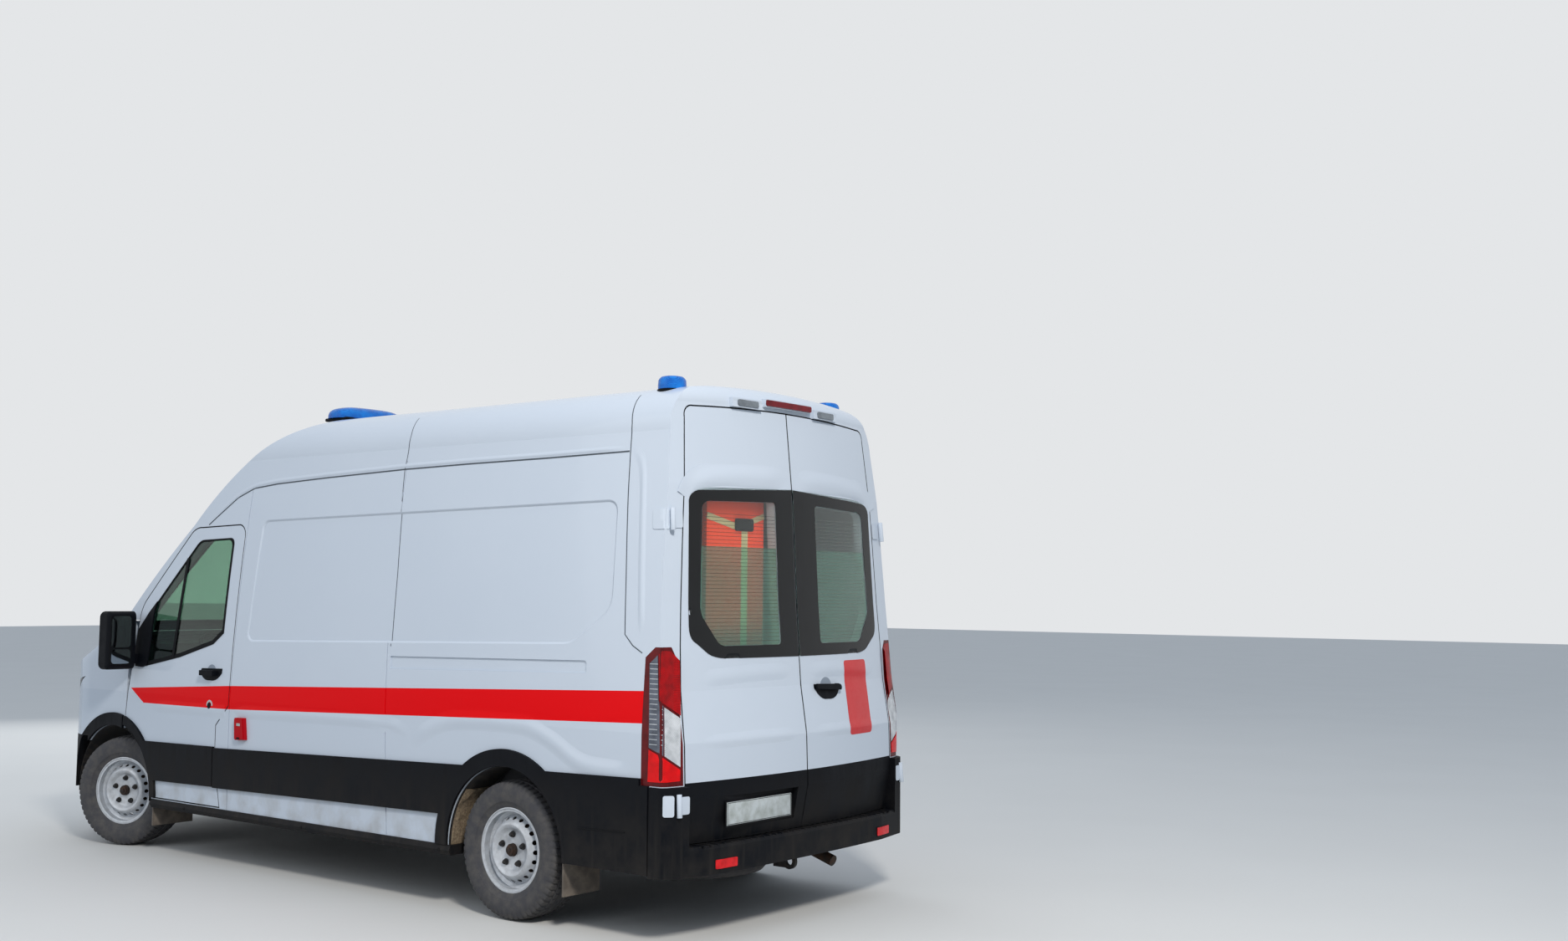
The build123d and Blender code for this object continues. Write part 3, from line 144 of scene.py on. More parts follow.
def body_enamel(name, banded):
    """Two-pack enamel: white paint under a hard, sharp gloss with fine waves; its base coat is
    painted in the cool blue-grey of white in shade.
    """
    finish, tree, where = new_finish(name)
    x, y, z = add(tree, "SeparateXYZ", where).node.outputs
    # painted shade: the white base coat is given the cool blue-grey that white takes in shade
    colour = add(tree, "Mix", add(tree, "TexNoise", where, 1.3, 4.0), linear("#C6D1DE"),
                 linear("#CCD6E2"), data_type="RGBA")
    coat = CLEAR_COAT
    if banded:
        sides = [add(tree, "Math", add(tree, "Math", y, operation="ABSOLUTE"), 0.90,
                     operation="GREATER_THAN"),
                 add(tree, "Math", x, BAND_TAIL_X, operation="GREATER_THAN"),
                 add(tree, "Math", add(tree, "Math", z, BAND_SLANT, x, operation="MULTIPLY_ADD"),
                     BAND_NOSE_X + BAND_SLANT * BAND_TOP[2][1], operation="LESS_THAN")]
        for points, relation in ((BAND_TOP, "LESS_THAN"), (BAND_LOW, "GREATER_THAN")):
            (x0, z0), (x1, z1), (x2, z2) = points
            rear = add(tree, "MapRange", x, x0, x1, z0, z1)
            rise = add(tree, "MapRange", x, x1, x2, 0.0, z2 - z1)
            edge = add(tree, "Math", rear, rise, operation="ADD")
            sides.append(add(tree, "Math", z, edge, operation=relation))
        inside = sides[0]
        for side in sides[1:]:
            inside = add(tree, "Math", inside, side, operation="MULTIPLY")
        colour = add(tree, "Mix", inside, colour, linear("#E8000A"), data_type="RGBA")
        coat = add(tree, "MapRange", inside, 0.0, 1.0, CLEAR_COAT, 0.0)
    # painted shade with a little road film: the panels darken in patches towards the sills
    low_down = add(tree, "MapRange", z, 0.70, 0.30, 0.0, 0.60)
    patches = add(tree, "MapRange", add(tree, "TexNoise", where, 7.0, 6.0), 0.42, 0.72)
    film = add(tree, "Math", low_down, patches, operation="MULTIPLY")
    colour = add(tree, "Mix", film, colour, linear("#8F8A80"), data_type="RGBA")
    dulled = add(tree, "MapRange", film, 0.0, 0.6, 0.22, 0.5)
    waves = add(tree, "TexNoise", where, 1 / WAVE_OF_ORANGE_PEEL, 2.0)
    relief = add(tree, "Bump", Strength=0.04, Distance=0.0004, Height=waves)
    add(tree, "OutputMaterial", add(
        tree, "BsdfPrincipled", Base_Color=colour, Roughness=dulled, Normal=relief,
        Specular_IOR_Level=0.10, Coat_Weight=coat, Coat_Roughness=0.05, Coat_IOR=1.5))
    return finish


banded_enamel = body_enamel("banded_enamel", True)
white_enamel = body_enamel("white_enamel", False)
paint(banded_enamel, "left_body_side", "right_body_side", "sliding_door", "left_front_door",
      "right_front_door")
paint(white_enamel, "roof", "left_rear_door", "right_rear_door", "bonnet", "left_front_wing",
      "right_front_wing", "rear_roof_lamps")


# Seams and folds of the shell: welded panels meet in shallow ditches filled with sealer, drawn
# as dark grey strips that also paint the shade in the ditches. The blank side panel is pressed in
# with a soft lip, and long low folds stiffen the sides and doors. Each is a thin piece laid on
# the imported skin, and mirrored to the right.
X_AXIS, Y_AXIS, Z_AXIS = Vector((1, 0, 0)), Vector((0, 1, 0)), Vector((0, 0, 1))
FROM_LEFT = (X_AXIS, Z_AXIS, Y_AXIS)           # across, up, and out of the drawing
FROM_RIGHT = (X_AXIS, Z_AXIS, -Y_AXIS)
FROM_BEHIND = (Y_AXIS, Z_AXIS, -X_AXIS)
FROM_AHEAD = (Y_AXIS, Z_AXIS, X_AXIS)
FROM_ABOVE = (X_AXIS, Y_AXIS, Z_AXIS)
LEFT_SIDE = ("left_body_side", "left_front_door", "left_front_wing", "roof")


def outline(start, *steps):
    """Points round an outline; a step is a point, or a pair (through, end) of an arc."""
    points = [start]
    for step in steps:
        if not isinstance(step[0], tuple):
            points.append(step)
            continue
        (ax, ay), (bx, by), (cx, cy) = points[-1], *step
        points += [(ax * (1 - t) * (1 - 2 * t) + bx * 4 * t * (1 - t) + cx * t * (2 * t - 1),
                    ay * (1 - t) * (1 - 2 * t) + by * 4 * t * (1 - t) + cy * t * (2 * t - 1))
                   for t in (0.2, 0.4, 0.6, 0.8, 1.0)]
    return points


def oval(a, b, wide, high, steps=32):
    """Points round an ellipse."""
    return [(a + wide * cos(2 * pi * k / steps), b + high * sin(2 * pi * k / steps))
            for k in range(steps)]


def rounded(a0, a1, b0, b1, radius):
    """Points round a rectangle with round corners."""
    points = []
    for ca, cb, start in ((a1 - radius, b1 - radius, 0), (a0 + radius, b1 - radius, 90),
                          (a0 + radius, b0 + radius, 180), (a1 - radius, b0 + radius, 270)):
        points += [(ca + radius * cos(radians(start + d)), cb + radius * sin(radians(start + d)))
                   for d in (0, 30, 60, 90)]
    return points


def strip(points, width):
    """The outline of a strip along a line of points."""
    near, far = [], []
    for i, (a, b) in enumerate(points):
        (pa, pb), (qa, qb) = points[max(i - 1, 0)], points[min(i + 1, len(points) - 1)]
        run = hypot(qa - pa, qb - pb)
        na, nb = -(qb - pb) / run * width / 2, (qa - pa) / run * width / 2
        near.append((a + na, b + nb))
        far.append((a - na, b - nb))
    return near + far[::-1]


def divided(line, step):
    """A line's points with others between them, about a step apart, without its end."""
    fine = []
    for (pa, pb), (qa, qb) in zip(line, line[1:]):
        parts = max(1, int(hypot(qa - pa, qb - pb) / step))
        fine += [(pa + (qa - pa) * k / parts, pb + (qb - pb) * k / parts)
                 for k in range(parts)]
    return fine


def grown(loop, amount):
    """A loop with all its sides moved outwards."""
    area = sum(pa * qb - qa * pb for (pa, pb), (qa, qb) in zip(loop, loop[1:] + loop[:1]))
    moved = []
    for i, p in enumerate(loop):
        into = (Vector(p) - Vector(loop[i - 1])).normalized()
        onward = (Vector(loop[(i + 1) % len(loop)]) - Vector(p)).normalized()
        normals = Vector((into.y, -into.x)), Vector((onward.y, -onward.x))
        shift = (normals[0] + normals[1]) / (1 + max(normals[0].dot(normals[1]), -0.5))
        moved.append(tuple(Vector(p) + shift * (amount if area > 0 else -amount)))
    return moved


def within(point, loop):
    """Whether a point lies inside a loop."""
    a, b = point
    inside = False
    for (pa, pb), (qa, qb) in zip(loop, loop[1:] + loop[:1]):
        if (pb > b) != (qb > b) and a < pa + (b - pb) * (qa - pa) / (qb - pb):
            inside = not inside
    return inside


def add_piece(name, verts, faces):
    """A new piece of the scene, with its faces turned outwards."""
    mesh = bpy.data.meshes.new(name)
    mesh.from_pydata([tuple(v) for v in verts], [], faces)
    work = bmesh.new()
    work.from_mesh(mesh)
    bmesh.ops.recalc_face_normals(work, faces=work.faces)
    work.to_mesh(mesh)
    work.free()
    return placed(name, mesh)


def skin_of(nodes):
    """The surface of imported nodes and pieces, to lay thin pieces on."""
    verts, faces = [], []
    for node in nodes:
        mesh = frame["nodes"][node].data if isinstance(node, str) else node.data
        first = len(verts)
        verts += [v.co.copy() for v in mesh.vertices]
        faces += [[first + i for i in face.vertices] for face in mesh.polygons]
    return BVHTree.FromPolygons(verts, faces)


def depths(nodes, flat, view):
    """How far out the nodes' surface stands at each point of a drawing."""
    across, up, out = view
    ground = skin_of(nodes)
    found = []
    for a, b in flat:
        hit = ground.ray_cast(across * a + up * b + out * 5.0, -out)[0]
        found.append(hit.dot(out) if hit else None)
    known = [(p, d) for p, d in zip(flat, found) if d is not None]
    return [d if d is not None else
            min(known, key=lambda k: hypot(k[0][0] - p[0], k[0][1] - p[1]))[1]
            for p, d in zip(flat, found)]


def laid(name, nodes, edge, view, lift=0.0003, thick=0.0012, step=0.04, holes=()):
    """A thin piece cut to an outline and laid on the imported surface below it."""
    flat, rims = [], []
    for loop in (edge, *holes):
        around = divided(loop + loop[:1], step)
        first, count = len(flat), len(around)
        flat += around
        rims += [(first + i, first + (i + 1) % count) for i in range(count)]

    def keeps(point):
        return within(point, edge) and not any(within(point, hole) for hole in holes)
    a0, a1 = min(p[0] for p in edge), max(p[0] for p in edge)
    b0, b1 = min(p[1] for p in edge), max(p[1] for p in edge)
    grid = [(a0 + step * (i + 0.5), b0 + step * (j + 0.5))
            for i in range(int((a1 - a0) / step)) for j in range(int((b1 - b0) / step))]
    flat += [p for p in grid if keeps(p)]
    spots, _, cells = delaunay_2d_cdt([Vector(p) for p in flat], rims, [], 1, 1e-5)[:3]
    cells = [c for c in cells if keeps(sum((spots[i] for i in c), Vector((0, 0))) / len(c))]
    across, up, out = view
    under = [across * p.x + up * p.y + out * (d + lift)
             for p, d in zip(spots, depths(nodes, [tuple(p) for p in spots], view))]
    count = len(under)
    faces = [list(c) for c in cells] + [[i + count for i in reversed(c)] for c in cells]
    sides = dict.fromkeys(pair for c in cells for pair in zip(c, list(c[1:]) + [c[0]]))
    faces += [[i, j, j + count, i + count] for i, j in sides if (j, i) not in sides]
    return add_piece(name, under + [v + out * thick for v in under], faces)


def fasten(piece, finish, body, slot, edge=35.0):
    """Give a piece its finish and shading, and fix it to a body."""
    piece.data.materials.clear()
    piece.data.materials.append(finish)
    piece.data.shade_smooth()
    piece.data.set_sharp_from_angle(angle=radians(edge))
    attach(piece, body)
    return piece


def fasten_pair(piece, finish, body, slot, edge=35.0):
    """Fasten a left piece and its mirror image on the right. Gives the right one."""
    fasten(piece, finish, body, slot, edge)
    mesh = piece.data.copy()
    mesh.transform(Matrix.Scale(-1, 4, Y_AXIS))
    mesh.flip_normals()
    other = placed(piece.name.replace("left", "right"), mesh)
    return fasten(other, finish, body.replace("left", "right"), slot, edge)


# painted shade: the dark grey of the seam strips stands for the sealer and for the shade in the
# ditches
sealer_and_shade, tree, where = new_finish("grey_seam_sealer")
surface(tree, add(tree, "TexNoise", where, 60.0, 4.0), "#3F464D", "#5B636B", Roughness=0.7,
        Specular_IOR_Level=0.3)
GUTTER = [(-2.503, 2.392), (-1.932, 2.384), (-1.329, 2.380), (-0.769, 2.372), (-0.060, 2.351),
          (0.420, 2.332), (0.659, 2.312), (0.821, 2.258), (1.028, 2.136), (1.100, 2.092)]
PILLAR_SEAM = [(-2.467, 2.690), (-2.502, 2.535), (-2.510, 2.397), (-2.526, 2.167),
               (-2.561, 1.780), (-2.583, 1.481), (-2.640, 1.428), (-2.705, 1.394)]
ROOF_SEAM = [(-0.761, 2.675), (-0.782, 2.574), (-0.778, 2.445), (-0.769, 2.372),
             (-0.784, 2.142), (-0.807, 1.782), (-0.815, 1.376)]
PILLAR_FOLD = [(-2.520, 2.412), (-2.572, 2.406), (-2.605, 2.365), (-2.622, 2.220),
               (-2.638, 2.053), (-2.665, 1.760), (-2.692, 1.457)]
HAUNCH = [(-1.020, 0.842), (-1.180, 0.950), (-1.343, 1.001), (-1.640, 1.012), (-1.937, 1.006),
          (-2.120, 0.944), (-2.299, 0.840), (-2.440, 0.822), (-2.690, 0.828)]
DOOR_FLARE = [(1.560, 0.930), (0.752, 0.938), (0.722, 0.939)]
FLARE = [(0.676, 0.940), (-0.031, 0.952), (-0.600, 0.958), (-0.900, 0.950), (-1.060, 0.900)]
BLANK = outline((0.552, 1.440), (0.522, 2.050), ((0.503, 2.094), (0.460, 2.110)),
                (-2.400, 2.150), ((-2.448, 2.130), (-2.466, 2.085)), (-2.482, 1.690),
                ((-2.470, 1.620), (-2.425, 1.565)), (-2.275, 1.465),
                ((-2.215, 1.432), (-2.150, 1.422)), (0.500, 1.368), ((0.538, 1.390),
                                                                     (0.552, 1.440)))[:-1]
RAIL = outline((-0.822, 1.320), (-2.318, 1.344), ((-2.330, 1.336), (-2.332, 1.324)),
               (-2.332, 1.286), (-0.822, 1.254))
PANEL_LIP, RAIL_LIP, FOLD_STEP = 0.011, 0.006, 0.03
CREASE = 60.0                     # soft forms and thin sheets shade smooth up to this angle
LINE_PASSES, SKIN_PASSES = 6, 10  # rounds of smoothing of a fold's line and its ground


def lip(name, loop, width):
    """A pressed lip from a panel's skin down to the floor of its recess."""
    rings = [grown(loop, -shift) for shift in (-0.0015, width * 0.3, width * 0.7, width)]
    top, floor = depths(LEFT_SIDE, rings[0], FROM_LEFT), depths(LEFT_SIDE, rings[3], FROM_LEFT)
    verts = []
    for ring, share in zip(rings, (0.0, 0.12, 0.88, 1.0)):
        verts += [Vector((a, t + 0.0002 + (f - t) * share + 0.0003 * share, b))
                  for (a, b), t, f in zip(ring, top, floor)]
    n = len(loop)
    faces = [[r * n + i, r * n + (i + 1) % n, (r + 1) * n + (i + 1) % n, (r + 1) * n + i]
             for r in range(3) for i in range(n)]
    faces += [[i + 3 * n, (i + 1) % n + 3 * n, (i + 1) % n, i] for i in range(n)]
    return add_piece(name, verts, faces)


def fold(name, nodes, line, width, height, view, fades=(6, 6)):
    """A soft pressed fold along a line, faired into the surface on both sides."""
    run = [Vector(p) for p in divided(line, FOLD_STEP) + line[-1:]]
    for _ in range(LINE_PASSES):
        between = [(a + b * 2 + c) / 4 for a, b, c in zip(run, run[1:], run[2:])]
        run = run[:1] + between + run[-1:]
    shares = [k / 10 for k in range(-5, 6)]
    flat, rise = [], []
    for i, p in enumerate(run):
        along = (run[min(i + 1, len(run) - 1)] - run[max(i - 1, 0)]).normalized()
        fade = min(1.0, i / fades[0] if fades[0] else 1.0,
                   (len(run) - 1 - i) / fades[1] if fades[1] else 1.0)
        for share in shares:
            flat.append((p.x - along.y * width * share, p.y + along.x * width * share))
            rise.append(height * fade * fade * (3 - 2 * fade) * cos(pi * share) ** 2 - 0.0003)
    across, up, out = view
    n, total = len(shares), len(flat)
    ground = depths(nodes, flat, view)
    for _ in range(SKIN_PASSES):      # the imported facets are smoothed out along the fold
        ground = [ground[i] if i < n or i >= total - n else
                  (ground[i - n] + 2 * ground[i] + ground[i + n]) / 4 for i in range(total)]
    top = [across * a + up * b + out * (d + h) for (a, b), d, h in zip(flat, ground, rise)]
    low = [across * a + up * b + out * (d - 0.002) for (a, b), d in zip(flat, ground)]
    faces = []
    for i in range(len(run) - 1):
        for k in range(n - 1):
            quad = [i * n + k, i * n + k + 1, (i + 1) * n + k + 1, (i + 1) * n + k]
            faces += [quad, [q + total for q in reversed(quad)]]
    rim = ([i * n for i in range(len(run))] + [total - n + k for k in range(1, n)] +
           [i * n + n - 1 for i in range(len(run) - 2, -1, -1)] + list(range(n - 2, 0, -1)))
    faces += [[a, b, b + total, a + total] for a, b in zip(rim, rim[1:] + rim[:1])]
    return add_piece(name, top + low, faces)


for finish, piece in (
        (sealer_and_shade, laid("left_roof_ditch", LEFT_SIDE, strip(GUTTER, 0.008), FROM_LEFT,
                      thick=0.0008, step=0.05)),
        (white_enamel, fold("left_roof_flange", LEFT_SIDE, [(a, b + 0.020) for a, b in GUTTER],
                            0.034, 0.004, FROM_LEFT)),
        (sealer_and_shade, laid("left_roof_seam", LEFT_SIDE, strip(ROOF_SEAM, 0.004), FROM_LEFT,
                      thick=0.0010, step=0.012)),
        (sealer_and_shade, laid("left_pillar_seam", LEFT_SIDE, strip(PILLAR_SEAM, 0.005), FROM_LEFT,
                      thick=0.0010, step=0.012)),
        (white_enamel, fold("left_pillar_fold", LEFT_SIDE, PILLAR_FOLD, 0.060, 0.005,
                            FROM_LEFT)),
        (banded_enamel, fold("left_haunch_fold", ("left_body_side",), HAUNCH, 0.120, 0.006,
                             FROM_LEFT)),
        (banded_enamel, fold("left_flare_fold", LEFT_SIDE, FLARE, 0.100, 0.004, FROM_LEFT,
                             (0, 6))),
        (white_enamel, lip("left_panel_lip", BLANK, PANEL_LIP)),
        (white_enamel, lip("left_rail_lip", RAIL, RAIL_LIP))):
    fasten_pair(piece, finish, "van_body", "white_paint", CREASE)
fasten_pair(fold("left_door_flare", LEFT_SIDE, DOOR_FLARE, 0.100, 0.004, FROM_LEFT, (6, 0)),
            banded_enamel, "left_front_door", "white_paint", CREASE)
REAR_FOLDS = {"window_brow": ([(0.790, 2.150), (0.772, 2.215), (0.715, 2.250), (0.600, 2.272),
                               (0.400, 2.286), (0.030, 2.296)], 0.150, 0.009),
              "waist_fold": ([(0.790, 1.262), (0.400, 1.285), (0.030, 1.288)], 0.120, 0.004),
              "lower_fold": ([(0.815, 0.960), (0.400, 0.967), (0.030, 0.968)], 0.100, 0.004)}
RIGHT_REAR = ["right_rear_door"]      # the right door's skin, with its folds
for name, (line, width, height) in REAR_FOLDS.items():
    piece = fold("left_" + name, ("left_rear_door",), line, width, height, FROM_BEHIND)
    RIGHT_REAR.append(fasten_pair(piece, white_enamel, "left_rear_door", "white_paint", CREASE))


# Black bumpers, mouldings and cladding: polypropylene moulded against a spark-eroded tool.
# The grain keeps it matt, and dust settles in it and runs down in streaks below the waist.
GRAIN = 0.0016                    # real grain is 0.5 mm, drawn coarser so that it shows


def grained_plastic(name, tone, dust_tone, dust, grain=GRAIN, rough=0.5):
    """Grained plastic, dusty in patches and streaks that thin out towards the waist."""
    finish, tree, where = new_finish(name)
    z = add(tree, "SeparateXYZ", where).node.outputs["Z"]
    patches = add(tree, "MapRange", add(tree, "TexNoise", where, 6.0, 7.0, 0.6), 0.38, 0.75)
    drawn = add(tree, "VectorMath", where, (26.0, 26.0, 2.2), operation="MULTIPLY")
    streaks = add(tree, "MapRange", add(tree, "TexNoise", drawn, 1.0, 4.0), 0.45, 0.8)
    both = add(tree, "Math", patches, streaks, operation="MAXIMUM")
    low_down = add(tree, "MapRange", z, 0.80, 0.20, 0.03, 1.0)
    film = add(tree, "Math", add(tree, "Math", both, low_down, operation="MULTIPLY"), dust,
               operation="MULTIPLY")
    surface(tree, film, tone, dust_tone, Specular_IOR_Level=0.12,
            Roughness=add(tree, "MapRange", both, 0.0, 1.0, rough, rough + 0.25),
            Normal=add(tree, "Bump", Strength=0.3, Distance=0.0005,
                       Height=add(tree, "TexNoise", where, 1 / grain, 2.0)))
    return finish


black_polypropylene = grained_plastic("grained_polypropylene", "#090C12", "#625C54", 0.30)
paint(black_polypropylene, "side_mouldings", "lower_trim", "rear_bumper", "front_bumper",
      "grille", "left_rear_cladding", "right_rear_cladding", "left_door_trim",
      "right_door_trim", "fuel_tank", "steering_wheel")

# Window glass: toughened float glass, 6 mm thick, tinted green in the melt.
# It is clear and sharp in reflection, with a little dust dried on it.


def window_glass(name, tone, second_tone, mirror):
    """Tinted glass in two near tones, with a share of the full mirror of clean glass."""
    finish, tree, where = new_finish(name)
    dust = add(tree, "MapRange", add(tree, "TexNoise", where, 14.0, 5.0), 0.4, 0.8, 0.0, 0.03)
    surface(tree, add(tree, "TexNoise", where, 2.5, 5.0), tone, second_tone, Roughness=dust,
            Transmission_Weight=1.0, IOR=1.45, Specular_IOR_Level=mirror)
    return finish


tinted_glass = window_glass("tinted_glass", "#86A695", "#90AE9E", 0.5)
pale_glass = window_glass("pale_tinted_glass", "#E4F0EA", "#EAF4EF", 0.12)
paint(tinted_glass, "windscreen", "left_door_glass", "right_door_glass")
paint(pale_glass, "left_rear_glass", "right_rear_glass")

# Rear windows: a black enamel border is fired on the glass, heating wires are printed on
# its inner face, and a teal frosted film is stuck over the lower two thirds.
WINDOW = outline((0.007, 1.360), (0.575, 1.362), ((0.655, 1.374), (0.705, 1.398)),
                 (0.765, 1.440), ((0.798, 1.470), (0.808, 1.525)), (0.806, 1.600),
                 (0.783, 2.120), ((0.770, 2.170), (0.715, 2.197)), (0.007, 2.234))
WIRE_COUNT, FIRST_WIRE, WIRE_PITCH = 35, 1.445, 0.0188
WIRE_HEIGHT = 0.0020              # real wires are 0.6 mm, drawn at 2 mm to show
GLASS_T, FILM_TOP = 0.006, 1.920
black_enamel, tree, where = new_finish("fired_black_enamel")
surface(tree, add(tree, "TexNoise", where, 9.0), "#07090B", "#101316", Specular_IOR_Level=0.3,
        Roughness=add(tree, "MapRange", add(tree, "TexNoise", where, 30.0, 5.0), 0.3, 0.8,
                      0.06, 0.14))
frosted_film, tree, where = new_finish("frosted_window_film")
surface(tree, add(tree, "MapRange", add(tree, "TexNoise", where, 4.0, 3.0), 0.3, 0.7),
        "#A6E4D0", "#B4EADA", Transmission_Weight=0.85, IOR=1.05, Roughness=0.22,
        Normal=add(tree, "Bump", Strength=0.2, Distance=0.0003,
                   Height=add(tree, "TexNoise", where, 900.0, 2.0)))


def meshed(name, work):
    """The mesh of a worked form, which is used up."""
    mesh = bpy.data.meshes.new(name)
    work.to_mesh(mesh)
    work.free()
    return mesh


def gathered(name, pieces):
    """One mesh from several pieces, which are used up."""
    work = bmesh.new()
    for piece in pieces:
        work.from_mesh(piece.data)
        bpy.data.objects.remove(piece)
    return meshed(name, work)


for word, sign, clear_in in (("left", 1, 0.150), ("right", -1, 0.200)):
    body, glass = f"{word}_rear_door", (f"{word}_rear_glass",)
    clear = outline((clear_in + 0.02, 1.424), (0.575, 1.424), ((0.604, 1.432), (0.628, 1.452)),
                    (0.706, 1.552), ((0.724, 1.585), (0.728, 1.625)), (0.700, 2.080),
                    ((0.688, 2.128), (0.640, 2.146)), (clear_in + 0.02, 2.160),
                    ((clear_in + 0.006, 2.154), (clear_in, 2.140)), (clear_in, 1.444),
                    ((clear_in + 0.006, 1.430), (clear_in + 0.02, 1.424)))[:-1]
    edge, clear = [[(sign * a, b) for a, b in loop] for loop in (WINDOW, clear)]
    fasten(laid(f"{word}_window_border", (glass[0], body), edge, FROM_BEHIND, 0.0016, 0.0008,
                0.02, holes=(clear,)), black_enamel, body, "glass", CREASE)
    low_part = [(a, min(b, FILM_TOP)) for a, b in clear]
    fasten(laid(f"{word}_window_film", glass, low_part, FROM_BEHIND, -GLASS_T - 0.0018,
                0.0005, 0.05), frosted_film, body, "glass", CREASE)
    wires = []
    for k in range(WIRE_COUNT):
        b = FIRST_WIRE + WIRE_PITCH * k
        # the clear glass widens above its lower corner, then narrows towards the top
        outer = 0.600 + max(0, min(1, (b - 1.43) / 0.12)) * 0.100 - max(0, b - 1.62) * 0.055
        a0, a1 = sorted((sign * (clear_in + 0.004), sign * outer))
        wires.append(laid(f"{word}_wire_{k}", glass,
                          [(a0, b), (a1, b), (a1, b + WIRE_HEIGHT), (a0, b + WIRE_HEIGHT)],
                          FROM_BEHIND, -GLASS_T - 0.0010, 0.0004, 0.08))
    name = f"{word}_heating_wires"
    fasten(placed(name, gathered(name, wires)), black_enamel, body, "glass")

# Tail lamps: a deep red acrylic housing in each rear corner, with a ribbed clear column,
# two red blocks with prism optics, and a clear block over a bright faceted reflector.
ROOT_HALF = 2 ** 0.5
FROM_CORNER = (Vector((-1, -1, 0)) / ROOT_HALF, Z_AXIS, Vector((-1, 1, 0)) / ROOT_HALF)
CORNER_LINE = 1.773               # a lamp's drawing starts where x + y is minus this
PRISM = 0.0065                    # pitch of the moulded prisms
RIB_COUNT, FIRST_RIB, RIB_PITCH, RIB_HEIGHT = 17, 0.962, 0.0238, 0.0035
COLUMN_STEP, COLUMN_WIDE, COLUMN_NARROW = 1.150, 0.080, 0.044      # its width below and above


def moulded_acrylic(name, tone, deep, bright=0.0):
    """Glossy moulded lens with prisms behind a smooth face: the light and dark cells of the
    prisms are painted highlights in its colour.
    """
    finish, tree, where = new_finish(name)
    x, y, z = add(tree, "SeparateXYZ", where).node.outputs
    along = add(tree, "Math", x, y, operation="SUBTRACT")
    wave = [add(tree, "Math", add(tree, "Math", axis, 2 * pi / PRISM / scale,
                                  operation="MULTIPLY"), operation="SINE")
            for axis, scale in ((z, 1.0), (along, 1.4))]
    cells = add(tree, "Math", *wave, operation="MULTIPLY")
    patches = add(tree, "TexNoise", where, 22.0, 3.0)
    # painted highlights: the prism cells lighten and darken the colour in a grid
    depth = add(tree, "Math", add(tree, "MapRange", cells, -1.0, 1.0, 0.0, 0.55), patches,
                operation="ADD")
    surface(tree, add(tree, "MapRange", depth, 0.35, 1.0), deep, tone, IOR=1.49,
            Metallic=bright, Coat_Weight=0.05, Coat_Roughness=0.03, Specular_IOR_Level=0.2,
            Roughness=add(tree, "MapRange", patches, 0.3, 0.7, 0.10, 0.22),
            Normal=add(tree, "Bump", Strength=0.35, Distance=0.0008, Height=cells))
    return finish


housing_red = moulded_acrylic("deep_red_acrylic", "#6A0A10", "#3C0407")
block_red = moulded_acrylic("red_acrylic", "#F0040C", "#B40206")
ruby_block = moulded_acrylic("ruby_acrylic", "#B2060E", "#560105")
column_grey = moulded_acrylic("smoked_clear_acrylic", "#6E7480", "#34373F", 0.3)
reflector = moulded_acrylic("faceted_reflector", "#E2E6EA", "#8E9398", 0.25)
rib_clear = moulded_acrylic("clear_acrylic_rib", "#C9CDD1", "#A0A6AC")
paint(housing_red, "tail_lamps")


def corner(*points):
    """Lamp drawing points (inboard from the lamp's line, height) on the corner view."""
    return [((t + CORNER_LINE) / ROOT_HALF, z) for t, z in points]


for name, finish, slot, lift, points in (
        ("lamp_column", column_grey, "clear_lamp", 0.0006,
         [(-0.010, 1.345), (0.042, 1.386), (0.050, 1.168), (0.084, 1.145), (0.087, 0.913),
          (-0.010, 0.948)]),
        ("lamp_upper", ruby_block, "red_lamp", 0.0010,
         [(0.050, 1.392), (0.075, 1.408), (0.135, 1.404), (0.196, 1.360), (0.206, 1.098),
          (0.056, 1.170)]),
        ("lamp_middle", reflector, "clear_lamp", 0.0010,
         [(0.090, 1.140), (0.206, 1.084), (0.206, 0.856), (0.094, 0.912)]),
        ("lamp_lower", block_red, "red_lamp", 0.0010,
         [(-0.010, 0.938), (0.088, 0.902), (0.206, 0.843), (0.206, 0.790), (-0.014, 0.786)])):
    fasten_pair(laid("left_" + name, ("tail_lamps",), corner(*points), FROM_CORNER, lift,
                     0.0022, 0.03), finish, "van_body", slot, 25.0)
for k in range(RIB_COUNT):
    z = FIRST_RIB + RIB_PITCH * k
    top = z + RIB_HEIGHT
    inner = COLUMN_WIDE if z < COLUMN_STEP else COLUMN_NARROW
    fasten_pair(laid(f"left_lamp_rib_{k}", ("tail_lamps",),
                     corner((-0.007, z), (inner, z), (inner, top), (-0.007, top)), FROM_CORNER,
                     0.0028, 0.0012, 0.03), rib_clear, "van_body", "clear_lamp")

# Rear hinges: a pressed steel strap on each corner pillar and a leaf on each door's edge,
# painted with the body, that turn on a pin along the door's leaning axis.
HINGE_HALF, PIN_R, STRAP, LEAF = 0.055, 0.013, 0.005, 0.003
BEHIND_HINGE = ("left_rear_door", "left_rear_cladding", "left_body_side", "rear_bumper")
BESIDE_HINGE = ("left_body_side", "rear_bumper", "tail_lamps", "roof")


def block(name, low, high, bevel):
    """A block between two corners with rounded edges."""
    work = bmesh.new()
    bmesh.ops.create_cube(work, size=1.0)
    size = Vector(high) - Vector(low)
    for v in work.verts:
        v.co = Vector([v.co[i] * size[i] for i in range(3)])
    bmesh.ops.bevel(work, geom=work.edges[:], offset=bevel, segments=3, profile=0.5,
                    affect="EDGES")
    work.transform(Matrix.Translation((Vector(low) + Vector(high)) / 2))
    return placed(name, meshed(name, work))


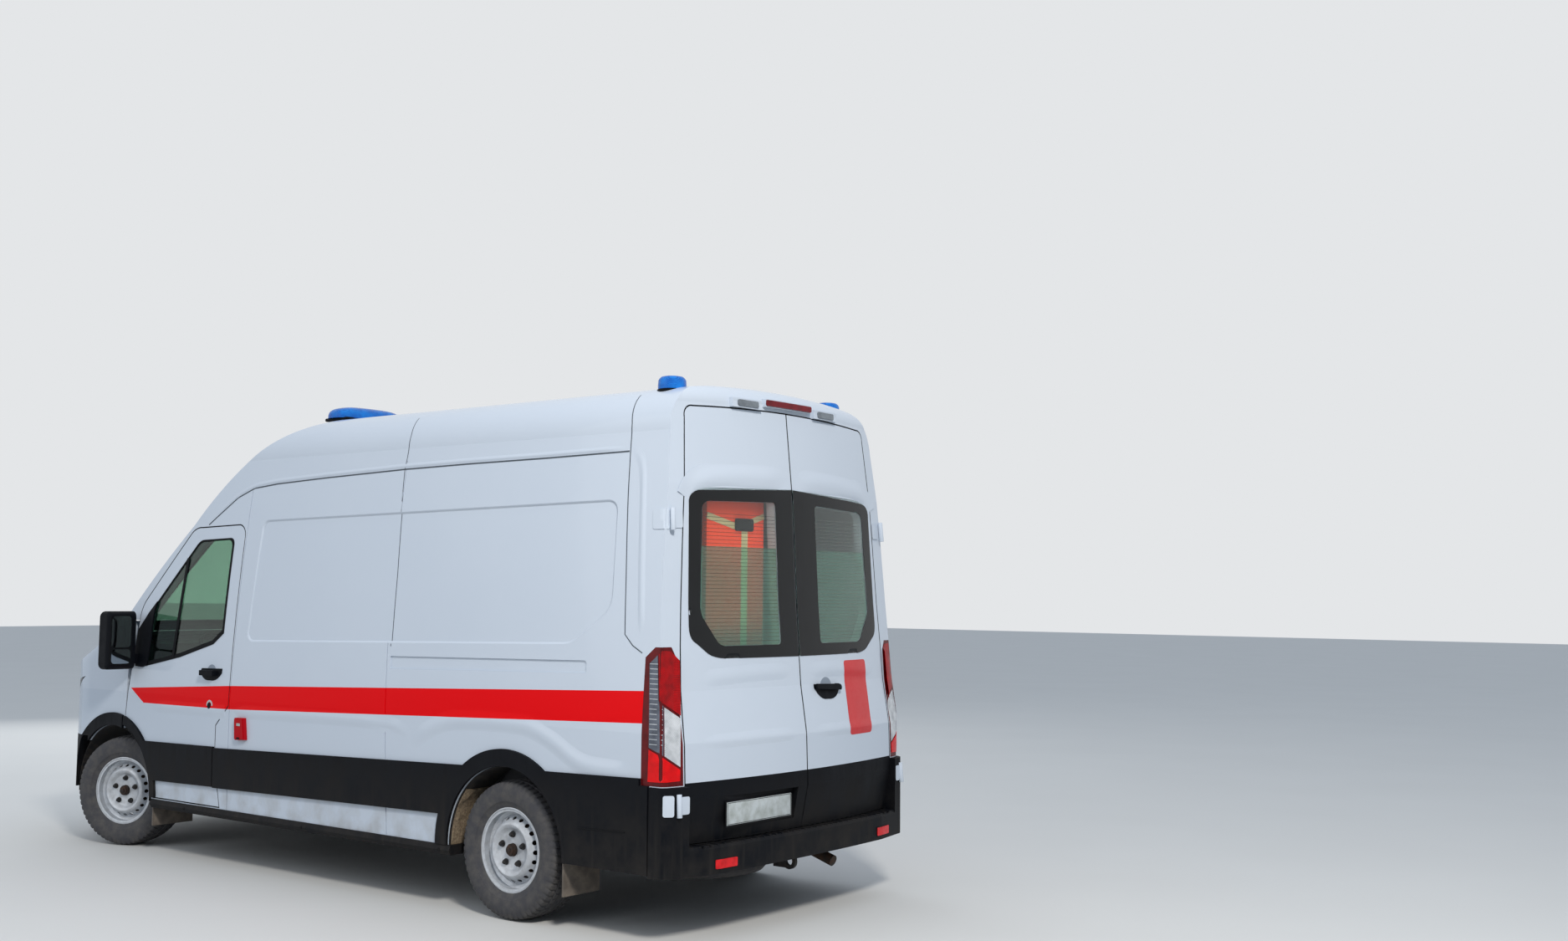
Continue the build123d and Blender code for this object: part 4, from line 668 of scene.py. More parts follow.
def barrel(name, start, end, radius, sides=24, tip=None):
    """A round pin between two points, its ends slightly rounded."""
    start, end = Vector(start), Vector(end)
    run = end - start
    work = bmesh.new()
    bmesh.ops.create_cone(work, cap_ends=True, segments=sides, radius1=radius,
                          radius2=radius if tip is None else tip, depth=run.length)
    rims = [e for e in work.edges if len(e.link_faces) == 2
            and any(len(f.verts) > 4 for f in e.link_faces)]
    bmesh.ops.bevel(work, geom=rims, offset=min(0.15 * radius, 0.002), segments=2,
                    profile=0.5, affect="EDGES")
    turn = run.to_track_quat("Z", "Y").to_matrix().to_4x4()
    work.transform(Matrix.Translation((start + end) / 2) @ turn)
    return placed(name, meshed(name, work))


pivot = next(j for j in frame["record"]["behaviour"]["joints"]
             if j["name"] == "left_rear_door_hinge")
pin_at, pin_run = Vector(pivot["pos_m"]), -Vector(pivot["axis"]).normalized()
for height, z, reach, strap_from, strap_to in (("lower", 0.678, 0.893, 0.080, 0.025),
                                               ("upper", 2.045, 0.828, 0.095, 0.012)):
    middle = pin_at + pin_run * ((z - pin_at.z) / pin_run.z)
    turn_a = (-middle.x - middle.y) / ROOT_HALF
    for body, piece in (
            ("left_rear_door", barrel(
                f"left_{height}_hinge_pin", middle - pin_run * HINGE_HALF,
                middle + pin_run * HINGE_HALF, PIN_R)),
            ("left_rear_door", laid(
                f"left_{height}_hinge_leaf", BEHIND_HINGE,
                rounded(reach, middle.y - 0.012, z - 0.042, z + 0.042, 0.010), FROM_BEHIND,
                0.0022, LEAF, 0.4)),
            ("van_body", laid(
                f"left_{height}_hinge_strap", BESIDE_HINGE,
                rounded(turn_a - strap_from, turn_a - strap_to, z - 0.050, z + 0.050, 0.010),
                FROM_CORNER, 0.0005, STRAP, 0.02))):
        fasten_pair(piece, white_enamel, body, "white_paint")

# Rear door handle: a black nylon grip on two feet, over a bowl and a round scoop pressed
# in the right door, whose enamel is dulled by hands. The scoop's darker grey-blue is painted
# shade in its hollow, and the black bowl is painted shade in the hollow's lower half.
scoop_painted_shade = grained_plastic("scoop_enamel", "#8E99A6", "#8F8A80", 0.0, 0.004, 0.3)
for name, finish, slot, lift, thick, points in (
        # painted shade: the scoop is laid in a darker grey-blue for the shade in its hollow
        ("scoop", scoop_painted_shade, "white_paint", 0.0002, 0.0008, oval(-0.228, 1.187, 0.056, 0.056)),
        # painted shade: a black bowl laid where the lower half of the hollow lies in shade
        ("bowl", black_polypropylene, "black_plastic", 0.0012, 0.0020,
         outline((-0.346, 1.196), (-0.112, 1.210), ((-0.112, 1.190), (-0.120, 1.180)),
                 ((-0.170, 1.138), (-0.228, 1.128)), ((-0.300, 1.134), (-0.346, 1.170)))),
        ("grip", black_polypropylene, "black_plastic", 0.014, 0.012,
         outline((-0.340, 1.172), (-0.118, 1.186), ((-0.112, 1.200), (-0.120, 1.212)),
                 (-0.334, 1.204), ((-0.348, 1.190), (-0.340, 1.172)))[:-1]),
        ("foot_far", black_polypropylene, "black_plastic", 0.001, 0.016,
         rounded(-0.339, -0.311, 1.178, 1.206, 0.006)),
        ("foot_near", black_polypropylene, "black_plastic", 0.001, 0.016,
         rounded(-0.149, -0.121, 1.178, 1.206, 0.006))):
    fasten(laid("rear_handle_" + name, RIGHT_REAR, points, FROM_BEHIND, lift, thick, 0.02),
           finish, "right_rear_door", slot)

# A plain red vinyl patch on the right rear door, cut with round corners and stuck on.
red_vinyl, tree, where = new_finish("red_vinyl")
surface(tree, add(tree, "TexNoise", where, 6.0), "#C40811", "#D00D16", Coat_Weight=0.3,
        Coat_Roughness=0.15, Specular_IOR_Level=0.5,
        Roughness=add(tree, "MapRange", add(tree, "TexNoise", where, 40.0, 4.0), 0.3, 0.7,
                      0.30, 0.42),
        Normal=add(tree, "Bump", Strength=0.05, Distance=0.0004,
                   Height=add(tree, "TexNoise", where, 150.0)))
fasten(laid("rear_door_patch", RIGHT_REAR, rounded(-0.660, -0.420, 0.925, 1.325, 0.018),
            FROM_BEHIND, 0.0004, 0.0005, 0.012), red_vinyl, "right_rear_door", "white_paint")

# Number plate: a blank stamped aluminium sheet, white enamelled, in a black carrier that
# sits in the pocket of the left rear cladding.
PLATE_BACK_X = -2.9362
plate_white, tree, where = new_finish("plate_enamel")
surface(tree, add(tree, "MapRange", add(tree, "TexNoise", where, 18.0, 6.0), 0.35, 0.75),
        "#C3CBCD", "#99A09C", Roughness=0.35, Coat_Weight=0.3)
fasten(block("plate_carrier", (PLATE_BACK_X - 0.008, 0.098, 0.542),
             (PLATE_BACK_X, 0.630, 0.670), 0.0025), black_polypropylene, "left_rear_door",
       "black_plastic")
fasten(block("plate_sheet", (PLATE_BACK_X - 0.0100, 0.104, 0.552),
             (PLATE_BACK_X - 0.0078, 0.624, 0.664), 0.0009), plate_white, "left_rear_door",
       "white_paint")
for name, low, high in (("plate_rim_top", (0.108, 0.6585), (0.620, 0.6610)),
                        ("plate_rim_low", (0.108, 0.5550), (0.620, 0.5575)),
                        ("plate_rim_left", (0.6175, 0.5550), (0.6200, 0.6610)),
                        ("plate_rim_right", (0.1080, 0.5550), (0.1105, 0.6610))):
    fasten(block(name, (PLATE_BACK_X - 0.0110, *low), (PLATE_BACK_X - 0.0098, *high), 0.0005),
           black_polypropylene, "left_rear_door", "black_plastic")

# Rear bumper: the top is a step with moulded ridges across it, and a red reflector sits in
# a dark bed at each end.
RIDGE_COUNT, RIDGE_HALF_SPAN, RIDGE_W, RIDGE_H = 34, 0.800, 0.012, 0.004
STEP_TAIL_X, STEP_NOSE_X, STEP_Z, STEP_BOW = -2.982, -2.905, 0.474, 0.022
for k in range(RIDGE_COUNT):
    y = -RIDGE_HALF_SPAN + 2 * RIDGE_HALF_SPAN * k / (RIDGE_COUNT - 1)
    bow = STEP_BOW * (y / 0.700) ** 2
    ridge = block(f"step_ridge_{k}", (STEP_TAIL_X + bow, y - RIDGE_W / 2, STEP_Z - 0.004),
                  (STEP_NOSE_X + bow, y + RIDGE_W / 2, STEP_Z + RIDGE_H), 0.0018)
    fasten(ridge, black_polypropylene, "van_body", "black_plastic")
reflex_red = moulded_acrylic("reflex_red_acrylic", "#F0242A", "#A80A10")
for word, a0, a1 in (("left", 0.580, 0.730), ("right", -0.790, -0.650)):
    fasten(laid(f"{word}_reflector_bed", ("rear_bumper",),
                rounded(a0 - 0.004, a1 + 0.004, 0.356, 0.408, 0.008), FROM_BEHIND, 0.0002,
                0.002, 0.03), black_polypropylene, "van_body", "black_plastic")
    fasten(laid(f"{word}_reflector", ("rear_bumper",), rounded(a0, a1, 0.360, 0.404, 0.006),
                FROM_BEHIND, 0.0024, 0.003, 0.03), reflex_red, "van_body", "red_lamp")

# Lamps over the rear doors: two clear scene lamps in white brackets and a dark red strip
# of brake lamp between them.
lamp_grey = moulded_acrylic("grey_acrylic", "#8A9299", "#565D64", 0.3)
brake_red = moulded_acrylic("dark_red_acrylic", "#7E1A24", "#4A0810")
ROOF_LAMPS = ("rear_roof_lamps", "roof")
for name, finish, slot, box in (
        ("brake_lens", brake_red, "red_lamp", (-0.198, 0.198, 2.670, 2.701)),
        ("left_scene_lens", lamp_grey, "clear_lamp", (0.262, 0.420, 2.650, 2.682)),
        ("right_scene_lens", lamp_grey, "clear_lamp", (-0.420, -0.262, 2.650, 2.682))):
    fasten(laid(name, ROOF_LAMPS, rounded(*box, 0.009), FROM_BEHIND, 0.0008, 0.0060, 0.012),
           finish, "van_body", slot)


# Roof light bar: two blue polycarbonate domes on a black tray with a grey centre cover,
# on two feet. The beacons at the rear are short turned domes on black rings.
def dome(name, x, y0, y1, z, wide, high):
    """A long blown dome with round ends."""
    rings, spokes = 28, 20
    verts = []
    for i in range(rings + 1):
        s = -cos(pi * i / rings)
        grow = max(0.0, 1 - abs(s) ** 3.4) ** (1 / 2.6)
        for k in range(spokes + 1):
            a = pi * k / spokes
            ca, sa = cos(a), sin(a)
            verts.append((x + wide / 2 * grow * (abs(ca) ** 0.75) * (1 if ca > 0 else -1),
                          (y0 + y1) / 2 + (y1 - y0) / 2 * s,
                          z + high * grow ** 0.8 * sa ** 0.7))
    n = spokes + 1
    faces = [[i * n + k, (i + 1) * n + k, (i + 1) * n + k + 1, i * n + k + 1]
             for i in range(rings) for k in range(spokes)]
    faces.append([i * n for i in range(rings + 1)] +
                 [i * n + spokes for i in range(rings, -1, -1)])
    return add_piece(name, verts, faces)


def turned_z(name, x, y, line, steps):
    """A round piece turned about an upright axis from (radius, height) points."""
    n = len(line)
    verts = [(x + r * cos(2 * pi * k / steps), y + r * sin(2 * pi * k / steps), z)
             for k in range(steps) for r, z in line]
    faces = [[k * n + i, ((k + 1) % steps) * n + i, ((k + 1) % steps) * n + i + 1,
              k * n + i + 1] for k in range(steps) for i in range(n - 1)]
    faces.append([k * n + n - 1 for k in range(steps)])
    faces.append([k * n for k in range(steps - 1, -1, -1)])
    return add_piece(name, verts, faces)


dome_blue = moulded_acrylic("blue_polycarbonate", "#1C7ED6", "#0A3F9C")
bar_grey = grained_plastic("grey_polycarbonate", "#66707C", "#7A7468", 0.0, 0.002, 0.3)
BAR_X, BAR_Z, BAR_TOP = 0.230, 2.752, 2.829
tray = block("light_bar_tray", (0.120, -0.630, BAR_Z - 0.018), (0.340, 0.630, BAR_Z + 0.003),
             0.008)
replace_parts(fasten(tray, black_polypropylene, "van_body", "black_plastic"), "light_bar")
for k, y in enumerate((-0.45, 0.45)):
    fasten(block(f"light_bar_foot_{k}", (0.140, y - 0.05, 2.694),
                 (0.320, y + 0.05, BAR_Z - 0.016), 0.006), black_polypropylene, "van_body",
           "black_plastic")
for name, y0, y1 in (("left_blue_dome", 0.150, 0.656), ("right_blue_dome", -0.656, -0.150)):
    fasten(dome(name, BAR_X, y0, y1, BAR_Z, 0.240, BAR_TOP - BAR_Z), dome_blue, "van_body",
           "blue_lamp")
fasten(dome("light_bar_cover", BAR_X, -0.147, 0.147, BAR_Z, 0.220, BAR_TOP - BAR_Z - 0.008),
       bar_grey, "van_body", "black_plastic")
BEACON_X, BEACON_Y, BEACON_TURNS = -2.594, 0.674, 48
base = turned_z("left_beacon_base", BEACON_X, BEACON_Y,
                [(0.068, 2.700), (0.076, 2.703), (0.077, 2.714), (0.075, 2.718),
                 (0.066, 2.719)], BEACON_TURNS)
glow = turned_z("left_beacon_dome", BEACON_X, BEACON_Y,
                [(0.060, 2.716), (0.0725, 2.7195), (0.0735, 2.735), (0.0715, 2.765),
                 (0.0650, 2.776), (0.0560, 2.7835), (0.0380, 2.7870), (0.0150, 2.7878)],
                BEACON_TURNS)
fasten_pair(base, black_polypropylene, "van_body", "black_plastic")
fasten_pair(glow, dome_blue, "van_body", "blue_lamp")
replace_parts(glow, "roof_beacons")

# Door seals: hollow strips of extruded rubber in the gaps round the doors and the bonnet.
# They close each gap with a dull dark line a little below the paint.
rubber_seal = grained_plastic("extruded_rubber", "#0F1114", "#5A554D", 0.1, 0.001, 0.55)
FRONT_DOOR = outline((0.760, 0.358), (0.818, 0.640), (0.818, 0.850), (0.690, 0.975),
                     (0.694, 2.012), ((0.715, 2.061), (0.764, 2.082)), (1.170, 2.072),
                     ((1.236, 2.062), (1.290, 2.024)), (1.700, 1.610),
                     ((1.742, 1.545), (1.757, 1.470)), (1.846, 0.796),
                     ((1.5655, 0.580), (1.5095, 0.358)))
SLIDING_DOOR = [(0.674, 0.358), (-0.845, 0.358), (-0.810, 1.000), (-0.790, 1.400),
                (-0.784, 2.330), (0.640, 2.246), (0.676, 1.000)]
REAR_EDGE = outline((0.003, 0.487), (0.880, 0.487), (0.880, 1.000), (0.862, 1.420),
                    (0.818, 2.040), (0.774, 2.560), ((0.760, 2.604), (0.718, 2.618)),
                    ((0.400, 2.634), (0.003, 2.640)))
BONNET_EDGE = [(2.236, -0.700), (2.420, -0.782), (2.820, -0.640), (2.905, -0.430),
               (2.905, 0.430), (2.820, 0.640), (2.420, 0.782), (2.236, 0.700)]


def seal(name, nodes, loop, view, near=0.0008, far=0.0072, sunk=0.0015):
    """A rubber strip in the gap round a door, a little below its skin."""
    fine = divided(loop + loop[:1], 0.05)
    level = depths(nodes, grown(fine, -0.004), view)
    across, up, out = view
    verts = [across * a + up * b + out * (d - under)
             for ring, under in ((grown(fine, near), sunk), (grown(fine, far), sunk),
                                 (grown(fine, far), sunk + 0.004),
                                 (grown(fine, near), sunk + 0.004))
             for (a, b), d in zip(ring, level)]
    n = len(fine)
    return add_piece(name, verts, [[r * n + i, r * n + (i + 1) % n,
                                    (r + 1) % 4 * n + (i + 1) % n, (r + 1) % 4 * n + i]
                                   for r in range(4) for i in range(n)])


for body, nodes, loop, view in (
        ("left_front_door", ("left_front_door",), FRONT_DOOR, FROM_LEFT),
        ("left_rear_door", ("left_rear_door", "left_rear_cladding"), REAR_EDGE, FROM_BEHIND)):
    fasten_pair(seal(body + "_seal", nodes, loop, view), rubber_seal, body, "black_plastic")
fasten(seal("sliding_door_seal", ("sliding_door",), SLIDING_DOOR, FROM_RIGHT, 0.001, 0.0048),
       rubber_seal, "van_body", "black_plastic")
fasten(seal("bonnet_seal", ("bonnet",), BONNET_EDGE, FROM_ABOVE), rubber_seal, "van_body",
       "black_plastic")


# Cab door windows: a rubber frame round the pane, an upright divider bar, and the black
# moulded sail panel that carries the mirror arm.
CAB_DOOR = ("left_front_door", "left_door_glass")
DOOR_WINDOW = outline((0.802, 1.420), (0.800, 1.960), ((0.812, 1.988), (0.840, 2.000)),
                      (1.120, 1.992), ((1.165, 1.982), (1.205, 1.950)), (1.636, 1.530),
                      (1.720, 1.240), (1.664, 1.188), (1.250, 1.262), (0.900, 1.352))
SAIL = outline((1.560, 1.602), (1.640, 1.530), (1.742, 1.420), (1.762, 1.300),
               (1.742, 1.180), (1.664, 1.176), (1.610, 1.196), ((1.594, 1.300), (1.592, 1.420)),
               ((1.584, 1.520), (1.560, 1.602)))[:-1]


def scaled(loop, share):
    """A loop drawn in towards its middle."""
    ma, mb = sum(p[0] for p in loop) / len(loop), sum(p[1] for p in loop) / len(loop)
    return [(ma + (a - ma) * share, mb + (b - mb) * share) for a, b in loop]


for finish, piece in (
        (rubber_seal, laid("left_window_rubber", CAB_DOOR, scaled(DOOR_WINDOW, 1.022), FROM_LEFT,
                           0.0003, 0.003, 0.05, holes=(scaled(DOOR_WINDOW, 0.965),))),
        (rubber_seal, laid("left_window_bar", ("left_door_glass",),
                           strip([(1.325, 1.255), (1.298, 1.560), (1.272, 1.880)], 0.024),
                           FROM_LEFT, 0.0005, 0.006, 0.05)),
        (black_polypropylene, laid("left_mirror_sail", CAB_DOOR, SAIL, FROM_LEFT, 0.0035, 0.010,
                                   0.03))):
    fasten_pair(piece, finish, "left_front_door", "black_plastic")

# Door mirrors: moulded shells with a large upper glass, a small wide-angle glass below it
# and a clear direction lamp on the outer edge. The glass is silvered on its back.
mirror_glass, tree, where = new_finish("silvered_glass")
surface(tree, add(tree, "TexNoise", where, 5.0), "#7D868D", "#8C959C", Metallic=1.0,
        Coat_Weight=1.0, Coat_Roughness=0.01,
        Roughness=add(tree, "MapRange", add(tree, "TexNoise", where, 25.0, 5.0), 0.3, 0.8,
                      0.02, 0.08))
MIRROR = ("left_door_trim",)
for name, finish, slot, lift, thick, points in (
        ("mirror_frame", rubber_seal, "black_plastic", 0.0003, 0.004,
         rounded(1.074, 1.226, 1.190, 1.514, 0.030)),
        ("mirror_upper_glass", mirror_glass, "glass", 0.0045, 0.0015,
         rounded(1.084, 1.216, 1.304, 1.506, 0.024)),
        ("mirror_lower_glass", mirror_glass, "glass", 0.0045, 0.0015,
         rounded(1.084, 1.214, 1.200, 1.292, 0.022))):
    fasten_pair(laid("left_" + name, MIRROR, points, FROM_BEHIND, lift, thick, 0.03), finish,
                "left_front_door", slot)
fasten_pair(laid("left_mirror_repeater", MIRROR, rounded(1.712, 1.790, 1.250, 1.362, 0.016),
                 FROM_LEFT, -0.0040, 0.0038, 0.02), rib_clear, "left_front_door", "clear_lamp")

# Cab door handles and locks: a black nylon bow over a round scoop, and a lock barrel with
# a black cap in a pale ring. The scoop's darker grey-blue and the black bed under the bow are
# painted shade in the hollow.
for word, view in (("left", FROM_LEFT), ("right", FROM_RIGHT)):
    body = word + "_front_door"
    for name, finish, slot, lift, thick, points, holes in (
            # painted shade: a darker grey-blue scoop and a black bed under the bow for the shade
            # in the hollow
            ("handle_scoop", scoop_painted_shade, "white_paint", 0.0002, 0.0008,
             oval(0.890, 1.168, 0.050, 0.050), ()),
            ("handle_bed", black_polypropylene, "black_plastic", 0.0011, 0.0022,
             outline((0.776, 1.196), (0.994, 1.192), ((1.002, 1.170), (0.990, 1.150)),
                     ((0.950, 1.124), (0.893, 1.120)), ((0.830, 1.128), (0.776, 1.168))), ()),
            ("lock_ring", plate_white, "white_paint", 0.0002, 0.0012,
             oval(0.886, 0.968, 0.032, 0.032), (oval(0.886, 0.968, 0.020, 0.020),)),
            ("lock_cap", black_polypropylene, "black_plastic", 0.0002, 0.0040,
             oval(0.889, 0.965, 0.017, 0.019, 24), ())):
        fasten(laid(f"{word}_{name}", (body,), points, view, lift, thick, 0.02, holes=holes),
               finish, body, slot)

# Mains inlet: a red moulded box with a hinged lid on the left side, with a blank label.
red_abs = grained_plastic("moulded_red_abs", "#B40A18", "#7E7468", 0.15, 0.002, 0.35)
inlet = [(0.576, 0.776), (0.584, 0.908), (0.496, 0.910), (0.478, 0.780)]
for name, finish, lift, thick, points in (
        ("inlet_box", red_abs, 0.0003, 0.022, inlet),
        ("inlet_lid", red_abs, 0.0226, 0.006, scaled(inlet, 0.90)),
        ("inlet_label", plate_white, 0.0289, 0.0006, rounded(0.516, 0.552, 0.862, 0.878, 0.002)),
        ("inlet_catch", rubber_seal, 0.0289, 0.003, rounded(0.518, 0.546, 0.784, 0.794, 0.003))):
    fasten(laid(name, ("left_body_side",), points, FROM_LEFT, lift, thick, 0.03), finish,
           "van_body", "red_lamp" if finish is red_abs else "black_plastic")

# Small trim: a thin rubber strip along the crease of each rear corner moulding, and three
# round nylon clips that hold the sill trim.
for word, view in (("left", FROM_LEFT), ("right", FROM_RIGHT)):
    fasten(laid(f"{word}_moulding_crease", ("side_mouldings",),
                strip([(-2.330, 0.528), (-2.640, 0.536)], 0.006), view, 0.0002, 0.003, 0.05),
           rubber_seal, "van_body", "black_plastic")
    for k, x in enumerate((-1.300, -0.100, 1.100)):
        fasten(laid(f"{word}_sill_clip_{k}", ("lower_trim",), oval(x, 0.318, 0.009, 0.009, 16),
                    view, 0.0002, 0.002, 0.02), rubber_seal, "van_body", "black_plastic")

# Front lamps, grille and bumper: smoked polycarbonate lamps with ringed aluminised bowls
# and an amber turn lamp, a satin bar across the grille, a slatted intake between posts, fog
# lamp blanks and a blank number plate.
lamp_body = moulded_acrylic("smoked_polycarbonate", "#343A41", "#15181C", 0.2)
bright_bowl = moulded_acrylic("aluminised_bowl", "#D4D8DC", "#8C9298", 0.85)
amber = moulded_acrylic("amber_acrylic", "#E08A1E", "#B45A0A")
satin_bar = grained_plastic("satin_grey_enamel", "#8A9097", "#6E675C", 0.1, 0.003, 0.3)
paint(lamp_body, "headlamps")
BOWL, BEAM = (0.655, 0.925), (0.540, 0.890)
for name, finish, lift, thick, points, holes in (
        ("headlamp_bowl", bright_bowl, 0.0006, 0.002, oval(*BOWL, 0.060, 0.052), ()),
        ("headlamp_bowl_ring", satin_bar, 0.0006, 0.006, oval(*BOWL, 0.068, 0.060),
         (oval(*BOWL, 0.060, 0.052),)),
        ("headlamp_bulb", rib_clear, 0.0026, 0.006, oval(*BOWL, 0.018, 0.016), ()),
        ("headlamp_beam", bright_bowl, 0.0006, 0.002, oval(*BEAM, 0.044, 0.040), ()),
        ("headlamp_beam_ring", satin_bar, 0.0006, 0.006, oval(*BEAM, 0.051, 0.047),
         (oval(*BEAM, 0.044, 0.040),)),
        ("headlamp_beam_bulb", rib_clear, 0.0026, 0.006, oval(*BEAM, 0.014, 0.013), ()),
        ("headlamp_strip", rib_clear, 0.0006, 0.003,
         strip([(0.475, 0.955), (0.600, 0.992), (0.735, 1.012)], 0.014), ()),
        ("headlamp_turn", amber, 0.0006, 0.002, rounded(0.745, 0.842, 0.925, 1.000, 0.012),
         ())):
    fasten_pair(laid("left_" + name, ("headlamps",), points, FROM_AHEAD, lift, thick, 0.02,
                     holes=holes), finish, "van_body", "clear_lamp")
intake_back = laid("intake_back", ("front_bumper",), [(-0.560, 0.405), (0.560, 0.405),
                                                      (0.560, 0.665), (-0.560, 0.665)],
                   FROM_AHEAD, -0.034, 0.002, 0.02)
fasten(intake_back, rubber_seal, "van_body", "black_plastic")
for name, nodes, lift, thick, points in (
        ("grille_bar", ("grille",), 0.0004, 0.006, rounded(-0.395, 0.395, 0.992, 1.012, 0.006)),
        *((f"intake_slat_{k}", (intake_back,), 0.0004, 0.022,
           [(-0.530, z), (0.530, z), (0.530, z + 0.014), (-0.530, z + 0.014)])
          for k, z in enumerate((0.476, 0.528, 0.580))),
        *((f"intake_post_{k}", (intake_back,), 0.0004, 0.016,
           [(y - 0.006, 0.420), (y + 0.006, 0.420), (y + 0.006, 0.650), (y - 0.006, 0.650)])
          for k, y in enumerate((-0.36, -0.18, 0.0, 0.18, 0.36)))):
    fasten(laid(name, nodes, points, FROM_AHEAD, lift, thick, 0.04),
           satin_bar if name == "grille_bar" else black_polypropylene, "van_body",
           "black_plastic")
fasten(block("front_plate_bed", (2.950, -0.266, 0.648), (2.9822, 0.266, 0.768), 0.003),
       black_polypropylene, "van_body", "black_plastic")
fasten(block("front_plate", (2.9805, -0.260, 0.652), (2.9842, 0.260, 0.764), 0.001),
       plate_white, "van_body", "white_paint")
for word, side in (("left", 1), ("right", -1)):
    fasten(laid(f"{word}_fog_blank", ("front_bumper",),
                oval(side * 0.690, 0.530, 0.058, 0.050), FROM_AHEAD, 0.0004, 0.004, 0.03),
           rubber_seal, "van_body", "black_plastic")

# Windscreen: a fired black border, and two wipers parked along its foot.
SCREEN_EDGE = [(-0.806, 1.400), (0.806, 1.400), (0.686, 2.092), (-0.686, 2.092)]
SCREEN_CLEAR = [(-0.730, 1.470), (0.730, 1.470), (0.640, 2.020), (-0.640, 2.020)]
fasten(laid("windscreen_border", ("windscreen",), SCREEN_EDGE, FROM_AHEAD, 0.0002, 0.0008,
            0.06, holes=(SCREEN_CLEAR,)), black_enamel, "van_body", "glass", CREASE)
for name, points, width in (
        ("left_wiper_blade", [(0.740, 1.452), (0.400, 1.448), (0.060, 1.462)], 0.014),
        ("right_wiper_blade", [(-0.120, 1.452), (-0.400, 1.446), (-0.700, 1.470)], 0.014),
        ("left_wiper_arm", [(0.640, 1.404), (0.420, 1.440)], 0.020),
        ("right_wiper_arm", [(-0.160, 1.404), (-0.380, 1.438)], 0.020)):
    fasten(laid(name, ("windscreen",), strip(points, width), FROM_AHEAD, 0.004, 0.010, 0.05),
           rubber_seal, "van_body", "black_plastic")

# Underside: rails and arms are brushed with black bitumen underseal, and the axle, hubs
# and exhaust are bare iron with a film of rust. Mud sticks to all of them.
MUD_CLOT = 0.03


def dirty_metal(name, tone, dirt_tone, amount, rough, metallic, clot=MUD_CLOT):
    """A coarse dull surface with clots of dirt that are paler and rougher than it."""
    finish, tree, where = new_finish(name)
    patches = add(tree, "MapRange", add(tree, "TexNoise", where, 1 / clot, 8.0, 0.6), 0.40, 0.70)
    dirt = add(tree, "Math", patches, amount, operation="MULTIPLY")
    surface(tree, dirt, tone, dirt_tone, Metallic=metallic,
            Roughness=add(tree, "MapRange", patches, 0.0, 1.0, rough, rough + 0.25),
            Normal=add(tree, "Bump", Strength=0.15, Distance=0.0008,
                       Height=add(tree, "TexNoise", where, 350.0, 3.0)))
    return finish


underseal = dirty_metal("bitumen_underseal", "#15161A", "#4B443B", 0.6, 0.62, 0.0)
rusty_iron = dirty_metal("rusty_cast_iron", "#3A342F", "#6A4632", 0.7, 0.65, 0.3)
paint(underseal, "chassis_frame", "radiator_carrier", "cab_front", "front_suspension",
      "leaf_springs")
paint(rusty_iron, "engine_block", "exhaust", "rear_axle", "left_knuckle", "right_knuckle")

# Steel wheels: a rolled rim and a pressed disc with twenty round vents, spot welded
# together and sprayed silver, each held by five domed nuts on a rusty hub.
FRONT_AXLE, REAR_AXLE = Vector((1.9675, 0.0, 0.356)), Vector((-1.7825, 0.0, 0.356))
STEER_REST = radians(20.0)
KINGPIN_Y, FRONT_HALF_TRACK, REAR_HALF_TRACK = 0.850, 0.866, 0.8715
RIM_LINE = [(-0.0903, 0.2185), (-0.0835, 0.2190), (-0.0833, 0.2035), (-0.048, 0.2030),
            (-0.038, 0.181), (0.038, 0.181), (0.048, 0.203), (0.0833, 0.2035),
            (0.0835, 0.2175), (0.0885, 0.2195), (0.0945, 0.2175), (0.0955, 0.2120),
            (0.0905, 0.2085), (0.0895, 0.1975), (0.055, 0.1955), (0.042, 0.1745),
            (-0.042, 0.1745), (-0.052, 0.1955), (-0.0895, 0.1965)]
DISC_LINE = [(0.0605, 0.034), (0.0720, 0.034), (0.0722, 0.096), (0.0760, 0.103),
             (0.0860, 0.112), (0.0930, 0.122), (0.0950, 0.131), (0.0920, 0.140),
             (0.0850, 0.1475), (0.0700, 0.158), (0.0540, 0.170), (0.0420, 0.1765),
             (0.0180, 0.1765), (0.0180, 0.1740), (0.0380, 0.1730), (0.0500, 0.166),
             (0.0640, 0.155), (0.0780, 0.1445), (0.0860, 0.137), (0.0885, 0.131),
             (0.0865, 0.124), (0.0800, 0.116), (0.0690, 0.107), (0.0610, 0.098)]
VENT_COUNT, VENT_R, VENT_RING, VENT_LEAN = 20, 0.0125, 0.1590, radians(38.0)
NUT_COUNT, NUT_RING, SEAT_Y, RIM_TURNS = 5, 0.080, 0.072, 120


def turned_y(name, line, steps):
    """A closed ring turned about the axle from (width, radius) points."""
    n = len(line)
    verts = [(r * cos(2 * pi * k / steps), w, r * sin(2 * pi * k / steps))
             for k in range(steps) for w, r in line]
    faces = [[k * n + i, ((k + 1) % steps) * n + i, ((k + 1) % steps) * n + (i + 1) % n,
              k * n + (i + 1) % n] for k in range(steps) for i in range(n)]
    return add_piece(name, verts, faces)


def settled(piece):
    """A piece with its modifiers worked into its mesh."""
    mesh = bpy.data.meshes.new_from_object(piece.evaluated_get(
        bpy.context.evaluated_depsgraph_get()))
    piece.modifiers.clear()
    piece.data = mesh
    return piece


